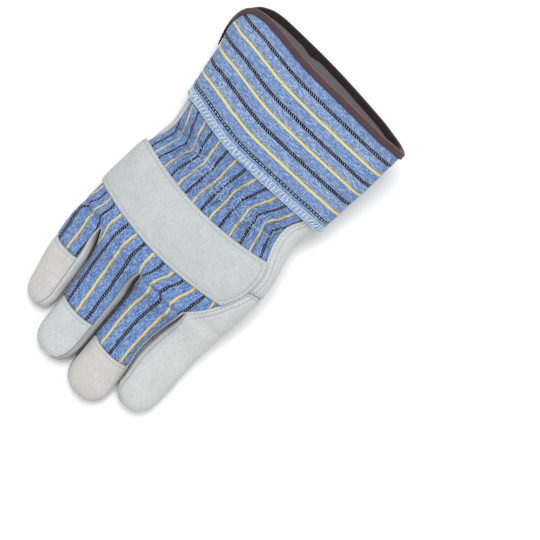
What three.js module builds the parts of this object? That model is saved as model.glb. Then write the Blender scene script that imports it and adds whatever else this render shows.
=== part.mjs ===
// A right-hand leather palm work glove with a striped cloth back, lying on its palm
// with the thumb folded under it. Sizes are in millimetres. +Z is up from the surface
// it lies on, +Y runs from the fingertips to the mouth of the cuff, +X to the index side.
//
// The outer skin of the hand is one grid of quads: rings round the palm that split into
// four fingers. Each sewn piece is a slab made from its own share of those quads.
import * as THREE from "three";

// Thicknesses of the materials
const leatherWall = 1.6;
const clothWall = 1.1;
const liningWall = 1.0;
const tapeWall = 0.8;
const layerGap = 0.35;
const seamGap = 0.3;

// The knuckle strap, the cuff and the tape round its mouth
const strapStartY = -32;
const strapEndY = 6.8;
const cuffStartY = 47.6;
const liningStartY = 55.2;
const bindingWidth = 4.2;

// The cuff's mouth is cut away in a round notch on the little finger's side, and its back
// is a little shorter than its palm side. Down the notch the tape keeps its width until
// the rim slopes more than steepestRim.
const backShortfall = 3.2;
const notchStartX = -45;
const notchDepth = 34;
const notchCurve = 3;
const steepestRim = 0.4;

// The patch over the pulse, on the palm side of the cuff
const patchHalfWidth = 32;
const patchHeight = 22;
const patchX = -2;
const patchCurve = 2.2;
const patchRows = [0, 0.3, 0.58, 0.8, 0.94, 1];
const acrossPatch = 8;

// Folds across the back below the strap, and the shirring at the wrist
const backFolds = [
  { y: -45, lift: 1.4, width: 4 },
  { y: -56, lift: -1.8, width: 5 },
];
const shirring = { y: 21, width: 7 };
const puckerLift = 0.8;

// How full a section is: 2 is an ellipse, more is squarer
const palmFullness = 2.5;
const fingerFullness = 2.5;
const thumbFullness = 2.8;

// Columns of quads across one finger, down an outer side and down a side between fingers
const acrossFinger = 5;
const downOuterSide = 4;
const downInnerSide = 2;

// Sections across the hand. seam is where the cloth back meets the leather that wraps
// round from the palm; leftZ and rightZ are the heights of the two edges. The leather's
// seam across the index side is at indexSeamY.
const handSections = [
  { y: -50.0, left: -59.0, right: 64.2, seam: 37.0, leftZ: 14.5, rightZ: 16.0, top: 34.0, bottom: 6.0 },
  { y: -41.0, left: -59.0, right: 64.9, seam: 44.5, leftZ: 18.0, rightZ: 20.5, top: 38.0, bottom: 10.5 },
  { y: -28.0, left: -58.7, right: 65.3, seam: 52.0, leftZ: 21.0, rightZ: 24.5, top: 41.0, bottom: 14.5 },
  { y: -11.0, left: -58.3, right: 65.0, seam: 57.0, leftZ: 22.5, rightZ: 26.5, top: 42.5, bottom: 16.0 },
  { y: 2.0, left: -57.8, right: 62.6, seam: 54.0, leftZ: 22.5, rightZ: 26.5, top: 41.5, bottom: 16.2 },
  { y: 12.0, left: -56.5, right: 58.8, seam: 48.5, leftZ: 20.5, rightZ: 25.0, top: 38.0, bottom: 16.0 },
  { y: 25.5, left: -55.5, right: 56.0, seam: 44.3, leftZ: 18.0, rightZ: 22.0, top: 33.0, bottom: 15.0 },
  { y: 38.0, left: -57.0, right: 57.2, seam: 46.0, leftZ: 17.0, rightZ: 21.0, top: 34.0, bottom: 12.5 },
  { y: 47.6, left: -58.4, right: 58.4, seam: 49.0, leftZ: 16.0, rightZ: 21.0, top: 35.0, bottom: 10.6 },
  { y: 54.0, left: -58.6, right: 58.4, seam: 49.0, leftZ: 15.6, rightZ: 21.2, top: 35.1, bottom: 10.0 },
];
const indexSeamY = -16;
const handRows = [
  -50, -45.5, -40, strapStartY, -24, indexSeamY, -2, strapEndY, 16, 25.5, 34, 42, cuffStartY, 54,
];

// Sections across the cuff, measured on the outside of its cloth
const cuffSections = [
  { y: 47.6, left: -61.2, right: 61.2, leftZ: 15.6, rightZ: 21.2, top: 37.0, bottom: 8.7 },
  { y: 54.0, left: -62.3, right: 61.5, leftZ: 15.0, rightZ: 21.6, top: 37.1, bottom: 8.0 },
  { y: 85.0, left: -67.6, right: 62.5, leftZ: 12.5, rightZ: 22.5, top: 37.6, bottom: 4.4 },
  { y: 100.0, left: -71.5, right: 63.0, leftZ: 12.0, rightZ: 23.0, top: 37.8, bottom: 3.0 },
  { y: 124.7, left: -75.0, right: 63.6, leftZ: 11.5, rightZ: 23.5, top: 38.0, bottom: 1.15 },
];

// Columns of quads round the cuff, the angles of those at its sides and its rows
const acrossCuff = 16;
const cuffLeftAngles = [34, 24, 15, 7, 0, -7, -15, -24, -34];
const cuffRightAngles = [30, 15, 0, -15, -30];
const cuffRows = [0, 0.25, 0.5, 0.75, 1];

// Angles of the columns down each outer side, from top to bottom, measured from the
// edge of the section. Near the wrist the cloth's edge sits higher on the left.
const handSideAngles = [20, 6, -6, -13, -20];
const wristSideAngles = [34, 28, 22, 0, -20];
const fingerSideAngles = [38, 14, -8, -24, -38];
const wristStartY = 4;
const wristFullY = 22;

// Where the fingers part, and how far the sections take to become fingers
const crotchXs = [-38, 0.5, 37];
const fingerBlend = 20;
const fingerCorner = 38;

// Each finger has sections across it and named places along it. roll turns the finger
// about its own length, so that one side shows from above.
const fingers = [
  {
    name: "pinky",
    seamY: -79,
    roundY: -103,
    tipY: -119.7,
    tipX: -37,
    roll: 18,
    sections: [
      { y: -60, left: -59.4, right: -34.6, thick: 22, floor: 2.2 },
      { y: -75, left: -57.8, right: -31.6, thick: 21, floor: 0 },
      { y: -92, left: -54.6, right: -29.2, thick: 19.5, floor: 0 },
      { y: -104, left: -50.8, right: -27.6, thick: 18, floor: 0 },
    ],
  },
  {
    name: "ring",
    seamY: -104,
    roundY: -121,
    tipY: -137.3,
    tipX: -9,
    roll: 9,
    sections: [
      { y: -60, left: -33.8, right: 0.2, thick: 25, floor: 2.2 },
      { y: -75, left: -30.4, right: 2.4, thick: 23, floor: 0 },
      { y: -95, left: -28.2, right: 3.8, thick: 21, floor: 0 },
      { y: -120, left: -24.8, right: 5.8, thick: 18.5, floor: 0 },
    ],
  },
  {
    name: "middle",
    seamY: -108.3,
    roundY: -125,
    tipY: -141.6,
    tipX: 24,
    roll: 0,
    sections: [
      { y: -60, left: 1.6, right: 35.3, thick: 25, floor: 2.2 },
      { y: -75, left: 3.3, right: 33.3, thick: 23, floor: 0 },
      { y: -95, left: 4.4, right: 32.8, thick: 21.5, floor: 0 },
      { y: -108, left: 5.1, right: 35.6, thick: 20.5, floor: 0 },
      { y: -124, left: 6.7, right: 38.9, thick: 19, floor: 0 },
    ],
  },
  {
    name: "index",
    seamY: -92,
    roundY: -109,
    tipY: -125.3,
    tipX: 50.5,
    roll: -7,
    sections: [
      { y: -60, left: 36.7, right: 63.6, thick: 25, floor: 2.2 },
      { y: -78, left: 34.6, right: 63.5, thick: 23, floor: 0 },
      { y: -96, left: 34.6, right: 64.8, thick: 21, floor: 0 },
      { y: -108, left: 37.0, right: 65.2, thick: 19.5, floor: 0 },
    ],
  },
];
const fractionsToSeam = [0.1, 0.28, 0.52, 0.76, 1];
const fractionsToRound = [0.5, 1];
const fractionsToTip = [0.36, 0.64, 0.84, 0.96];
const tipRoundness = 2.2;
const tipSideRoundness = 3;
const tipLift = 3;
const floorSquash = 1.5;
const thumbSquash = 1;

// The thumb grows from a hole in the palm, bends under and runs towards the ring finger.
// Each bend row is a plane turned about the near edge of the hole, and stays below the
// palm by bendDrop more than the row before it.
const thumbHole = { firstY: -2, lastY: 34, firstColumn: 4, lastColumn: 10 };
const thumbBendRadius = 2.2;
const holeCorner = 4;
const holeEnd = 1;
const bendDrop = 0.5;
const thumbBends = [
  { turn: 14, reach: 36.4, midY: 13.0, half: 22.6 },
  { turn: 30, reach: 29.5, midY: 11.0, half: 22.8 },
  { turn: 50, reach: 20.0, midY: 8.6, half: 22.4 },
  { turn: 72, reach: 16.1, midY: 6.2, half: 21.8 },
  { turn: 90, reach: 15.3, midY: 4.0, half: 21.4 },
];
// Sections along the folded thumb: along runs from the bend to the tip
const thumbSections = [
  { along: 0.28, half: 20.6, thick: 13.0 },
  { along: 0.55, half: 19.6, thick: 12.8 },
  { along: 0.72, half: 17.6, thick: 12.4 },
  { along: 0.86, half: 13.6, thick: 11.0 },
  { along: 0.95, half: 8.4, thick: 8.6 },
];
const thumbPath = { bend: [-17, 4], tip: [-36, -8] };

// The rows across the back bow towards the fingers in the middle, by this much
const bows = [
  { y: -112, bow: 0 },
  { y: -75, bow: 2 },
  { y: -50, bow: 7 },
  { y: -32, bow: 9 },
  { y: 6.8, bow: 9.5 },
  { y: 20, bow: 6 },
  { y: 34, bow: 2 },
  { y: 47.6, bow: 0 },
];
const bowHalfWidth = 62;

// The wrist bends up between these two rows, about a line on the surface below it
const wristBend = { startY: 27.6, endY: 47.6, turn: 17 };

const radians = (degrees) => (degrees * Math.PI) / 180;
const mix = (a, b, t) => a + (b - a) * t;
const clamp01 = (t) => Math.min(1, Math.max(0, t));
const ease = (t) => t * t * (3 - 2 * t);
const mixPoints = (a, b, t) => new THREE.Vector3().lerpVectors(a, b, t);

// A smooth curve through one column of a table, read at a place along it
function readTable(table, along, at, column) {
  const rows = [...table].sort((a, b) => a[along] - b[along]);
  const place = Math.min(rows[rows.length - 1][along], Math.max(rows[0][along], at));
  let i = 0;
  while (i < rows.length - 2 && rows[i + 1][along] < place) i += 1;
  const slope = (k) => {
    const before = rows[Math.max(0, k - 1)];
    const after = rows[Math.min(rows.length - 1, k + 1)];
    return (after[column] - before[column]) / (after[along] - before[along]);
  };
  const step = rows[i + 1][along] - rows[i][along];
  const t = (place - rows[i][along]) / step;
  const t2 = t * t;
  const t3 = t2 * t;
  return (
    (2 * t3 - 3 * t2 + 1) * rows[i][column] +
    (t3 - 2 * t2 + t) * step * slope(i) +
    (3 * t2 - 2 * t3) * rows[i + 1][column] +
    (t3 - t2) * step * slope(i + 1)
  );
}

// Signed power, for superellipse sections
const swell = (value, fullness) => Math.sign(value) * Math.abs(value) ** (2 / fullness);

// One section across the hand or cuff, as functions of x or of an angle
function wideSection(table, y) {
  const at = (column) => readTable(table, "y", y, column);
  const [left, right, leftZ, rightZ, top, bottom] =
    ["left", "right", "leftZ", "rightZ", "top", "bottom"].map(at);
  const centre = (left + right) / 2;
  const half = (right - left) / 2;
  const middleZ = (leftZ + rightZ) / 2;
  const edgeZ = (share) => mix(leftZ, rightZ, (share + 1) / 2);
  const surface = (x, upper) => {
    const share = Math.max(-1, Math.min(1, (x - centre) / half));
    const rise = (1 - Math.abs(share) ** palmFullness) ** (1 / palmFullness);
    return edgeZ(share) + rise * (upper ? top - middleZ : bottom - middleZ);
  };
  const atAngle = (degrees) => {
    const share = swell(Math.cos(radians(degrees)), palmFullness);
    const rise = swell(Math.sin(radians(degrees)), palmFullness);
    const z = edgeZ(share) + Math.abs(rise) * (rise > 0 ? top - middleZ : bottom - middleZ);
    return new THREE.Vector3(centre + half * share, y, z);
  };
  return { surface, atAngle };
}

// The folds that run across the back, and the puckers of the shirred wrist, lift or
// lower a run of top points, and leave its two ends where they are
function gathered(run, y, pucker) {
  const near = (fold) => Math.exp(-(((y - fold.y) / fold.width) ** 2));
  const fold = backFolds.reduce((sum, f) => sum + f.lift * near(f), 0);
  return run.map((p, j) => {
    const inside = Math.sqrt(Math.sin((Math.PI * j) / (run.length - 1)));
    const lift = fold + pucker * near(shirring) * (j % 2 ? 1 : -1);
    return new THREE.Vector3(p.x, p.y, p.z + lift * inside);
  });
}

function sideAngles(y) {
  const t = ease(clamp01((y - wristStartY) / (wristFullY - wristStartY)));
  return handSideAngles.map((angle, i) => mix(angle, wristSideAngles[i], t));
}

// Shares of the width at which the fingers part, taken from the row where they do
const partRow = wideSection(handSections, handRows[0]);
const partLeft = partRow.atAngle(180 - handSideAngles[0]).x;
const partRight = partRow.atAngle(handSideAngles[0]).x;
const seamShares = crotchXs.map((x) => (x - partLeft) / (crotchXs[2] - partLeft));
const edgeShares = crotchXs.map((x) => (x - partLeft) / (partRight - partLeft));

// The x of each column boundary across a group of finger columns
function spread(bounds) {
  const xs = [bounds[0]];
  for (let g = 0; g < bounds.length - 1; g += 1)
    for (let j = 1; j <= acrossFinger; j += 1)
      xs.push(mix(bounds[g], bounds[g + 1], j / acrossFinger));
  return xs;
}

// A ring of points round the hand: the top from left to right, the right side, the
// bottom from right to left, the left side
function handRing(y) {
  const section = wideSection(handSections, y);
  const seamAt = readTable(handSections, "y", y, "seam");
  const leftAngles = sideAngles(y);
  const lowCorner = leftAngles[downOuterSide];
  const topLeft = section.atAngle(180 - leftAngles[0]).x;
  const topRight = section.atAngle(handSideAngles[0]).x;
  const lowLeft = section.atAngle(180 - lowCorner).x;
  const lowRight = section.atAngle(handSideAngles[downOuterSide]).x;
  const [pinkyTop, ringTop] = seamShares.map((share) => mix(topLeft, seamAt, share));
  const topXs = spread([topLeft, pinkyTop, ringTop, seamAt, topRight]);
  const lowXs = spread([lowLeft, ...edgeShares.map((share) => mix(lowLeft, lowRight, share)), lowRight]);
  const top = topXs.map((x) => new THREE.Vector3(x, y, section.surface(x, true)));
  const low = lowXs.map((x) => new THREE.Vector3(x, y, section.surface(x, false)));
  const right = handSideAngles.map((angle) => section.atAngle(angle));
  const left = leftAngles.map((angle) => section.atAngle(180 - angle));
  return { top: gathered(top, y, puckerLift), right, bottom: low.reverse(), left: left.reverse() };
}

const runs = ["top", "right", "bottom", "left"];

// A finger's section at y, in the same four runs as a hand ring
function fingerRing(finger, y, leftSide, rightSide) {
  const at = (column) => readTable(finger.sections, "y", y, column);
  const past = clamp01((finger.roundY - y) / (finger.roundY - finger.tipY));
  const shrink = (1 - past ** tipRoundness) ** (1 / tipRoundness);
  const thin = (1 - past ** tipSideRoundness) ** (1 / tipSideRoundness);
  const middle = mix((at("left") + at("right")) / 2, finger.tipX, past);
  const half = ((at("right") - at("left")) / 2) * shrink;
  const tall = (at("thick") / 2) * thin;
  const floor = Math.max(0, at("floor")) + tipLift * past ** 3;
  const turn = radians(finger.roll);
  const point = (degrees) => {
    const across = half * swell(Math.cos(radians(degrees)), fingerFullness);
    const up = tall * swell(Math.sin(radians(degrees)), fingerFullness);
    return [across * Math.cos(turn) - up * Math.sin(turn), across * Math.sin(turn) + up * Math.cos(turn)];
  };
  const angles = (from, to, steps) => [...Array(steps + 1).keys()].map((i) => mix(from, to, i / steps));
  const section = {
    top: angles(180 - fingerCorner, fingerCorner, acrossFinger),
    right: rightSide ? fingerSideAngles : angles(fingerCorner, -fingerCorner, downInnerSide),
    bottom: angles(-fingerCorner, fingerCorner - 180, acrossFinger),
    left: leftSide
      ? [...fingerSideAngles].reverse().map((angle) => 180 - angle)
      : angles(fingerCorner - 180, -180 - fingerCorner, downInnerSide),
  };
  // The turned section is stretched to fill the finger's width and stood on its floor
  const around = Object.values(section).flat().map(point);
  const leftmost = Math.min(...around.map((p) => p[0]));
  const rightmost = Math.max(...around.map((p) => p[0]));
  const lowest = Math.min(...around.map((p) => p[1]));
  const place = (degrees) => {
    const [across, up] = point(degrees);
    const share = (across - leftmost) / (rightmost - leftmost);
    const z = floor + up - lowest - floorSquash * thin;
    return new THREE.Vector3(middle + half * (2 * share - 1), y, Math.max(floor, z));
  };
  const ring = {};
  for (const run of runs) ring[run] = section[run].map(place);
  return { ...ring, top: gathered(ring.top, y, 0) };
}

// The share of the parting row that becomes one finger
function fingerRoot(index) {
  const ring = handRing(handRows[0]);
  const from = index * acrossFinger;
  const to = from + acrossFinger;
  const last = fingers.length * acrossFinger;
  const top = ring.top.slice(from, to + 1);
  const bottom = ring.bottom.slice(last - to, last - from + 1);
  const drop = (a, b) =>
    [...Array(downInnerSide + 1).keys()].map((i) => mixPoints(a, b, i / downInnerSide));
  return {
    top,
    right: index === fingers.length - 1 ? ring.right : drop(top[acrossFinger], bottom[0]),
    bottom,
    left: index === 0 ? ring.left : drop(bottom[acrossFinger], top[0]),
  };
}

// A finger's rings from its root to its tip. The width settles sooner than the height.
function fingerRings(index) {
  const finger = fingers[index];
  const startY = handRows[0];
  const ys = [
    ...fractionsToSeam.map((f) => mix(startY, finger.seamY, f)),
    ...fractionsToRound.map((f) => mix(finger.seamY, finger.roundY, f)),
    ...fractionsToTip.map((f) => mix(finger.roundY, finger.tipY, f)),
  ];
  const root = fingerRoot(index);
  const rings = ys.map((y) => {
    const share = clamp01((startY - y) / fingerBlend);
    const sideways = 1 - (1 - share) ** 3;
    const upwards = ease(share);
    const round = fingerRing(finger, y, index === 0, index === fingers.length - 1);
    const blended = {};
    for (const run of runs)
      blended[run] = root[run].map((p, i) => {
        const q = round[run][i];
        return new THREE.Vector3(mix(p.x, q.x, sideways), y, mix(p.z, q.z, upwards));
      });
    return blended;
  });
  return [root, ...rings];
}

// The skin: shared points, and quads that each belong to a sewn piece. Points that agree
// to half a micron are one point.
const pointsPerMillimetre = 2000;
class Skin {
  constructor() {
    this.points = [];
    this.found = new Map();
    this.faces = [];
  }
  point(p) {
    const key = [p.x, p.y, p.z].map((c) => Math.round(c * pointsPerMillimetre)).join();
    if (!this.found.has(key)) {
      this.found.set(key, this.points.length);
      this.points.push(p.clone());
    }
    return this.found.get(key);
  }
  face(piece, corners) {
    const ids = corners.map((p) => this.point(p));
    this.faces.push({ piece, ids: ids.filter((id, i) => id !== ids[(i + 1) % ids.length]) });
  }
  // Quads between two runs of points. Both are given so that the faces point outwards.
  strip(pieceAt, near, far) {
    for (let j = 0; j < near.length - 1; j += 1)
      this.face(pieceAt(j), [near[j], near[j + 1], far[j + 1], far[j]]);
  }
  finish() {
    this.normals = this.points.map(() => new THREE.Vector3());
    for (const { ids } of this.faces) {
      const [a, b, c, d] = [ids[0], ids[1], ids[2], ids[ids.length - 1]].map((id) => this.points[id]);
      const n = c.clone().sub(a).cross(d.clone().sub(b));
      if (ids.length === 3) n.copy(b.clone().sub(a).cross(c.clone().sub(a)));
      n.normalize();
      ids.forEach((id) => this.normals[id].add(n));
    }
    this.normals.forEach((n) => n.normalize());
  }
}

// A closed slab over some faces of a skin, between two heights above it. The slab's free
// edges are drawn in by half the seam gap, so that it stays clear of its neighbours.
// Nothing of it rises above ceiling or sinks below the surface that the glove lies on.
// At the sharpest corners the edge is drawn in no further than sharpestCorner allows.
const sharpestCorner = 0.1;
function slab(skin, belongs, outer, inner, ceiling = () => Infinity) {
  const faces = skin.faces.filter((face) => belongs(face.piece)).map((face) => face.ids);
  const edges = new Map();
  for (const ids of faces)
    ids.forEach((a, i) => {
      const b = ids[(i + 1) % ids.length];
      if (edges.has(`${b},${a}`)) edges.delete(`${b},${a}`);
      else edges.set(`${a},${b}`, [a, b]);
    });
  const drawn = new Map();
  for (const [a, b] of edges.values()) {
    const along = skin.points[b].clone().sub(skin.points[a]).normalize();
    for (const id of [a, b]) {
      const inward = skin.normals[id].clone().cross(along).normalize();
      drawn.set(id, (drawn.get(id) ?? new THREE.Vector3()).add(inward));
    }
  }
  const index = new Map();
  const places = [];
  const corner = (id, height) => {
    const key = `${id},${height}`;
    if (!index.has(key)) {
      const p = skin.points[id].clone().addScaledVector(skin.normals[id], height);
      const draw = drawn.get(id);
      if (draw) p.addScaledVector(draw, seamGap / Math.max(draw.lengthSq(), sharpestCorner));
      p.z = Math.max(0, Math.min(p.z, ceiling(p.x, p.y)));
      index.set(key, places.length);
      places.push(p);
    }
    return index.get(key);
  };
  const triangles = [];
  for (const ids of faces)
    for (let i = 1; i < ids.length - 1; i += 1) {
      const fan = [ids[0], ids[i], ids[i + 1]];
      triangles.push(fan.map((id) => corner(id, outer)));
      triangles.push(fan.map((id) => corner(id, inner)).reverse());
    }
  for (const [a, b] of edges.values()) {
    const [outA, outB, inA, inB] = [corner(a, outer), corner(b, outer), corner(a, inner), corner(b, inner)];
    // Two slabs that share an edge split its side the same way
    if (a < b) triangles.push([outB, outA, inB], [outA, inA, inB]);
    else triangles.push([outB, outA, inA], [outB, inA, inB]);
  }
  return solid(places, triangles);
}

// The bow of the rows and the bend at the wrist, applied to a finished point
function bent(p) {
  const aside = clamp01(Math.abs(p.x) / bowHalfWidth);
  const y = p.y - readTable(bows, "y", p.y, "bow") * (1 - aside ** 2);
  const turn = radians(wristBend.turn);
  const radius = (wristBend.endY - wristBend.startY) / turn;
  const part = clamp01((y - wristBend.startY) / (wristBend.endY - wristBend.startY));
  const angle = turn * part;
  const before = Math.min(y, wristBend.startY);
  const beyond = Math.max(0, y - wristBend.endY);
  return new THREE.Vector3(
    p.x,
    before + (radius - p.z) * Math.sin(angle) + beyond * Math.cos(angle),
    radius - (radius - p.z) * Math.cos(angle) + beyond * Math.sin(angle),
  );
}

function solid(points, triangles) {
  const places = points.map(bent);
  const geometry = new THREE.BufferGeometry();
  geometry.setAttribute("position", new THREE.Float32BufferAttribute(places.flatMap((p) => p.toArray()), 3));
  geometry.setIndex(triangles.flat());
  geometry.computeVertexNormals();
  return geometry;
}

// The hand's skin: which sewn piece each quad belongs to
const hand = new Skin();
const columnsAcross = fingers.length * acrossFinger;
const clothColumns = columnsAcross - acrossFinger;
const clothOnSide = 2;

function inThumbHole(y, column) {
  return y >= thumbHole.firstY && y < thumbHole.lastY &&
    column >= thumbHole.firstColumn && column < thumbHole.lastColumn;
}

for (let r = 0; r < handRows.length - 1; r += 1) {
  const y = handRows[r];
  const near = handRing(y);
  const far = handRing(handRows[r + 1]);
  const overIndex = y < indexSeamY ? "index_back" : "palm";
  hand.strip((j) => (j < clothColumns ? "back" : overIndex), near.top, far.top);
  hand.strip((j) => (j < clothOnSide ? overIndex : "palm"), near.right, far.right);
  hand.strip((j) => (inThumbHole(y, j) ? "hole" : "palm"), near.bottom, far.bottom);
  hand.strip((j) => (j < downOuterSide - clothOnSide ? "palm" : "back"), near.left, far.left);
}
hand.faces = hand.faces.filter((face) => face.piece !== "hole");

fingers.forEach((finger, k) => {
  const rings = fingerRings(k);
  const seamRow = fractionsToSeam.length;
  const outerLeft = k === 0;
  const outerRight = k === fingers.length - 1;
  const front = outerLeft || outerRight ? "palm" : `front_${finger.name}`;
  const between = (i) => `fourchette_${fingers[i].name}_${fingers[i + 1].name}`;
  for (let r = 0; r < rings.length - 1; r += 1) {
    const cover = outerRight ? "index_back" : r < seamRow ? "back" : `tip_${finger.name}`;
    const near = rings[r + 1];
    const far = rings[r];
    hand.strip(() => cover, near.top, far.top);
    hand.strip((j) => (!outerRight ? between(k) : j < clothOnSide ? cover : front), near.right, far.right);
    hand.strip(() => front, near.bottom, far.bottom);
    hand.strip(
      (j) => (!outerLeft ? between(k - 1) : j < downOuterSide - clothOnSide ? front : cover),
      near.left,
      far.left,
    );
  }
  const end = rings[rings.length - 1];
  hand.strip(() => front, [...end.bottom].reverse(), end.top);
  for (const side of [end.right, end.left])
    for (let i = 1; i < side.length - 1; i += 1) hand.face(front, [side[0], side[i + 1], side[i]]);
});
hand.finish();

// The thumb: rings from the hole's rim, round the bend and along to the tip
const thumb = new Skin();
const holeRows = handRows.filter((y) => y >= thumbHole.firstY && y <= thumbHole.lastY);
const thumbHalf = holeRows.length - 1 + (thumbHole.lastColumn - thumbHole.firstColumn);

// The points round the hole, from the middle of its near end and on by the near side
function holeRim() {
  const { firstColumn, lastColumn: endColumn } = thumbHole;
  const grid = holeRows.map((y) => handRing(y).bottom.slice(firstColumn, endColumn + 1));
  const lastRow = grid.length - 1;
  const lastColumn = grid[0].length - 1;
  const middle = lastColumn / 2;
  const rim = [];
  for (let c = middle; c < lastColumn; c += 1) rim.push(grid[0][c]);
  for (let r = 0; r < lastRow; r += 1) rim.push(grid[r][lastColumn]);
  for (let c = lastColumn; c > 0; c -= 1) rim.push(grid[lastRow][c]);
  for (let r = lastRow; r > 0; r -= 1) rim.push(grid[r][0]);
  for (let c = 0; c < middle; c += 1) rim.push(grid[0][c]);
  return rim;
}

const rim = holeRim();
const rimBox = new THREE.Box3().setFromPoints(rim);
const rimCentre = rimBox.getCenter(new THREE.Vector3());
const pivotX = rimBox.min.x - leatherWall - thumbBendRadius;
const underPalm = (x, y) => wideSection(handSections, y).surface(x, false) - layerGap;
const pivotZ = underPalm(pivotX, rimCentre.y);

// The first ring hangs just below the palm, a wall's thickness outside the hole
const firstRing = rim.map((p) => {
  const sideways = Math.sign(p.x - rimCentre.x);
  const lengthways = Math.sign(p.y - rimCentre.y);
  const onSide = Math.min(p.x - rimBox.min.x, rimBox.max.x - p.x) < holeCorner;
  const onEnd = Math.min(p.y - rimBox.min.y, rimBox.max.y - p.y) < holeEnd;
  const x = p.x + (onSide ? leatherWall * sideways : 0);
  const y = p.y + (onEnd ? leatherWall * lengthways : 0);
  return new THREE.Vector3(x, y, underPalm(x, y));
});
const thumbAngle = (i) => radians((i / firstRing.length) * 360 - 90);
const bendRings = thumbBends.map(({ turn, reach, midY, half }, bend) => {
  const middle = (thumbBendRadius + reach) / 2;
  const extent = (reach - thumbBendRadius) / 2;
  return firstRing.map((_, i) => {
    const a = thumbAngle(i);
    const out = middle - extent * swell(Math.cos(a), thumbFullness);
    const y = midY + half * swell(Math.sin(a), thumbFullness);
    const x = pivotX + out * Math.cos(radians(turn));
    const z = Math.min(pivotZ - out * Math.sin(radians(turn)), underPalm(x, y) - (bend + 1) * bendDrop);
    return new THREE.Vector3(x, y, Math.max(0, z));
  });
});
const bendEnd = new THREE.Vector2(pivotX, thumbBends[thumbBends.length - 1].midY);
const thumbCurve = new THREE.QuadraticBezierCurve(
  bendEnd,
  new THREE.Vector2(...thumbPath.bend),
  new THREE.Vector2(...thumbPath.tip),
);
const alongRings = thumbSections.map(({ along, half, thick }) => {
  const middle = thumbCurve.getPoint(along);
  const ahead = thumbCurve.getTangent(along);
  const sideways = new THREE.Vector2(ahead.y, -ahead.x);
  return firstRing.map((_, i) => {
    const a = thumbAngle(i);
    const across = half * swell(Math.sin(a), thumbFullness);
    const up = Math.max(0, (thick / 2) * (1 + swell(Math.cos(a), thumbFullness)) - thumbSquash);
    return new THREE.Vector3(middle.x + sideways.x * across, middle.y + sideways.y * across, up);
  });
});
const thumbRings = [firstRing, ...bendRings, ...alongRings];
thumbRings.slice(0, -1).forEach((ring, r) => {
  const next = thumbRings[r + 1];
  ring.forEach((p, i) => {
    const j = (i + 1) % ring.length;
    thumb.face(i < thumbHalf ? "thumb_front" : "thumb_back", [p, ring[j], next[j], next[i]]);
  });
});
const thumbEnd = thumbRings[thumbRings.length - 1];
for (let k = 0; k < thumbHalf; k += 1) {
  const k2 = thumbEnd.length - k;
  thumb.face("thumb_back", [thumbEnd[k], thumbEnd[k + 1], thumbEnd[k2 - 1], thumbEnd[k2 % thumbEnd.length]]);
}
thumb.finish();

// The strap over the knuckles lies on the cloth, from its seam on the little finger's
// side to the seam on the index side
const strap = new Skin();
handRows.forEach((y, r) => {
  if (y < strapStartY || y >= strapEndY) return;
  const near = handRing(y);
  const far = handRing(handRows[r + 1]);
  const firstLeft = downOuterSide - clothOnSide;
  strap.strip(() => "strap", near.top.slice(0, clothColumns + 1), far.top.slice(0, clothColumns + 1));
  strap.strip(() => "strap", near.left.slice(firstLeft), far.left.slice(firstLeft));
});
strap.finish();

// The cuff: columns round it, and the y at which each column's cloth ends
const tapeReach = layerGap + tapeWall;
const cuffMouth = cuffSections[cuffSections.length - 1];

function notchDrop(x) {
  const share = clamp01((notchStartX - x) / (notchStartX - cuffMouth.left));
  return notchDepth * (1 - (1 - share ** notchCurve) ** (1 / notchCurve));
}

const shares = [...Array(acrossCuff + 1).keys()].map((i) => i / acrossCuff);

// The point of each column at the y that yAt gives for the column's number
function cuffRing(yAt) {
  const first = cuffLeftAngles[0];
  const last = cuffRightAngles[0];
  const wide = (upper) => shares.map((share) => (y) => {
    const section = wideSection(cuffSections, y);
    const x = mix(section.atAngle(180 - first).x, section.atAngle(last).x, share);
    return new THREE.Vector3(x, y, section.surface(x, upper));
  });
  const side = (angle) => (y) => wideSection(cuffSections, y).atAngle(angle);
  const columns = [
    ...wide(true).slice(0, -1),
    ...cuffRightAngles.slice(0, -1).map(side),
    ...wide(false).reverse().slice(0, -1),
    ...[...cuffLeftAngles].reverse().slice(0, -1).map((angle) => side(180 - angle)),
  ];
  return columns.map((column, c) => column(yAt(c)));
}

const mouthRing = cuffRing(() => cuffMouth.y);
const clothEnds = mouthRing.map((p) => {
  const raised = clamp01((p.z - cuffMouth.rightZ) / (cuffMouth.top - cuffMouth.rightZ));
  return cuffMouth.y - tapeReach - notchDrop(p.x) - backShortfall * raised;
});

const cuff = new Skin();
const cuffRings = [
  cuffRing(() => cuffStartY),
  ...cuffRows.map((t) => cuffRing((c) => mix(liningStartY, clothEnds[c], t))),
];
for (let r = 0; r < cuffRings.length - 1; r += 1) {
  const [near, far] = [cuffRings[r], cuffRings[r + 1]];
  cuff.strip(() => (r === 0 ? "edge" : "lined"), [...near, near[0]], [...far, far[0]]);
}
cuff.finish();

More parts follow.
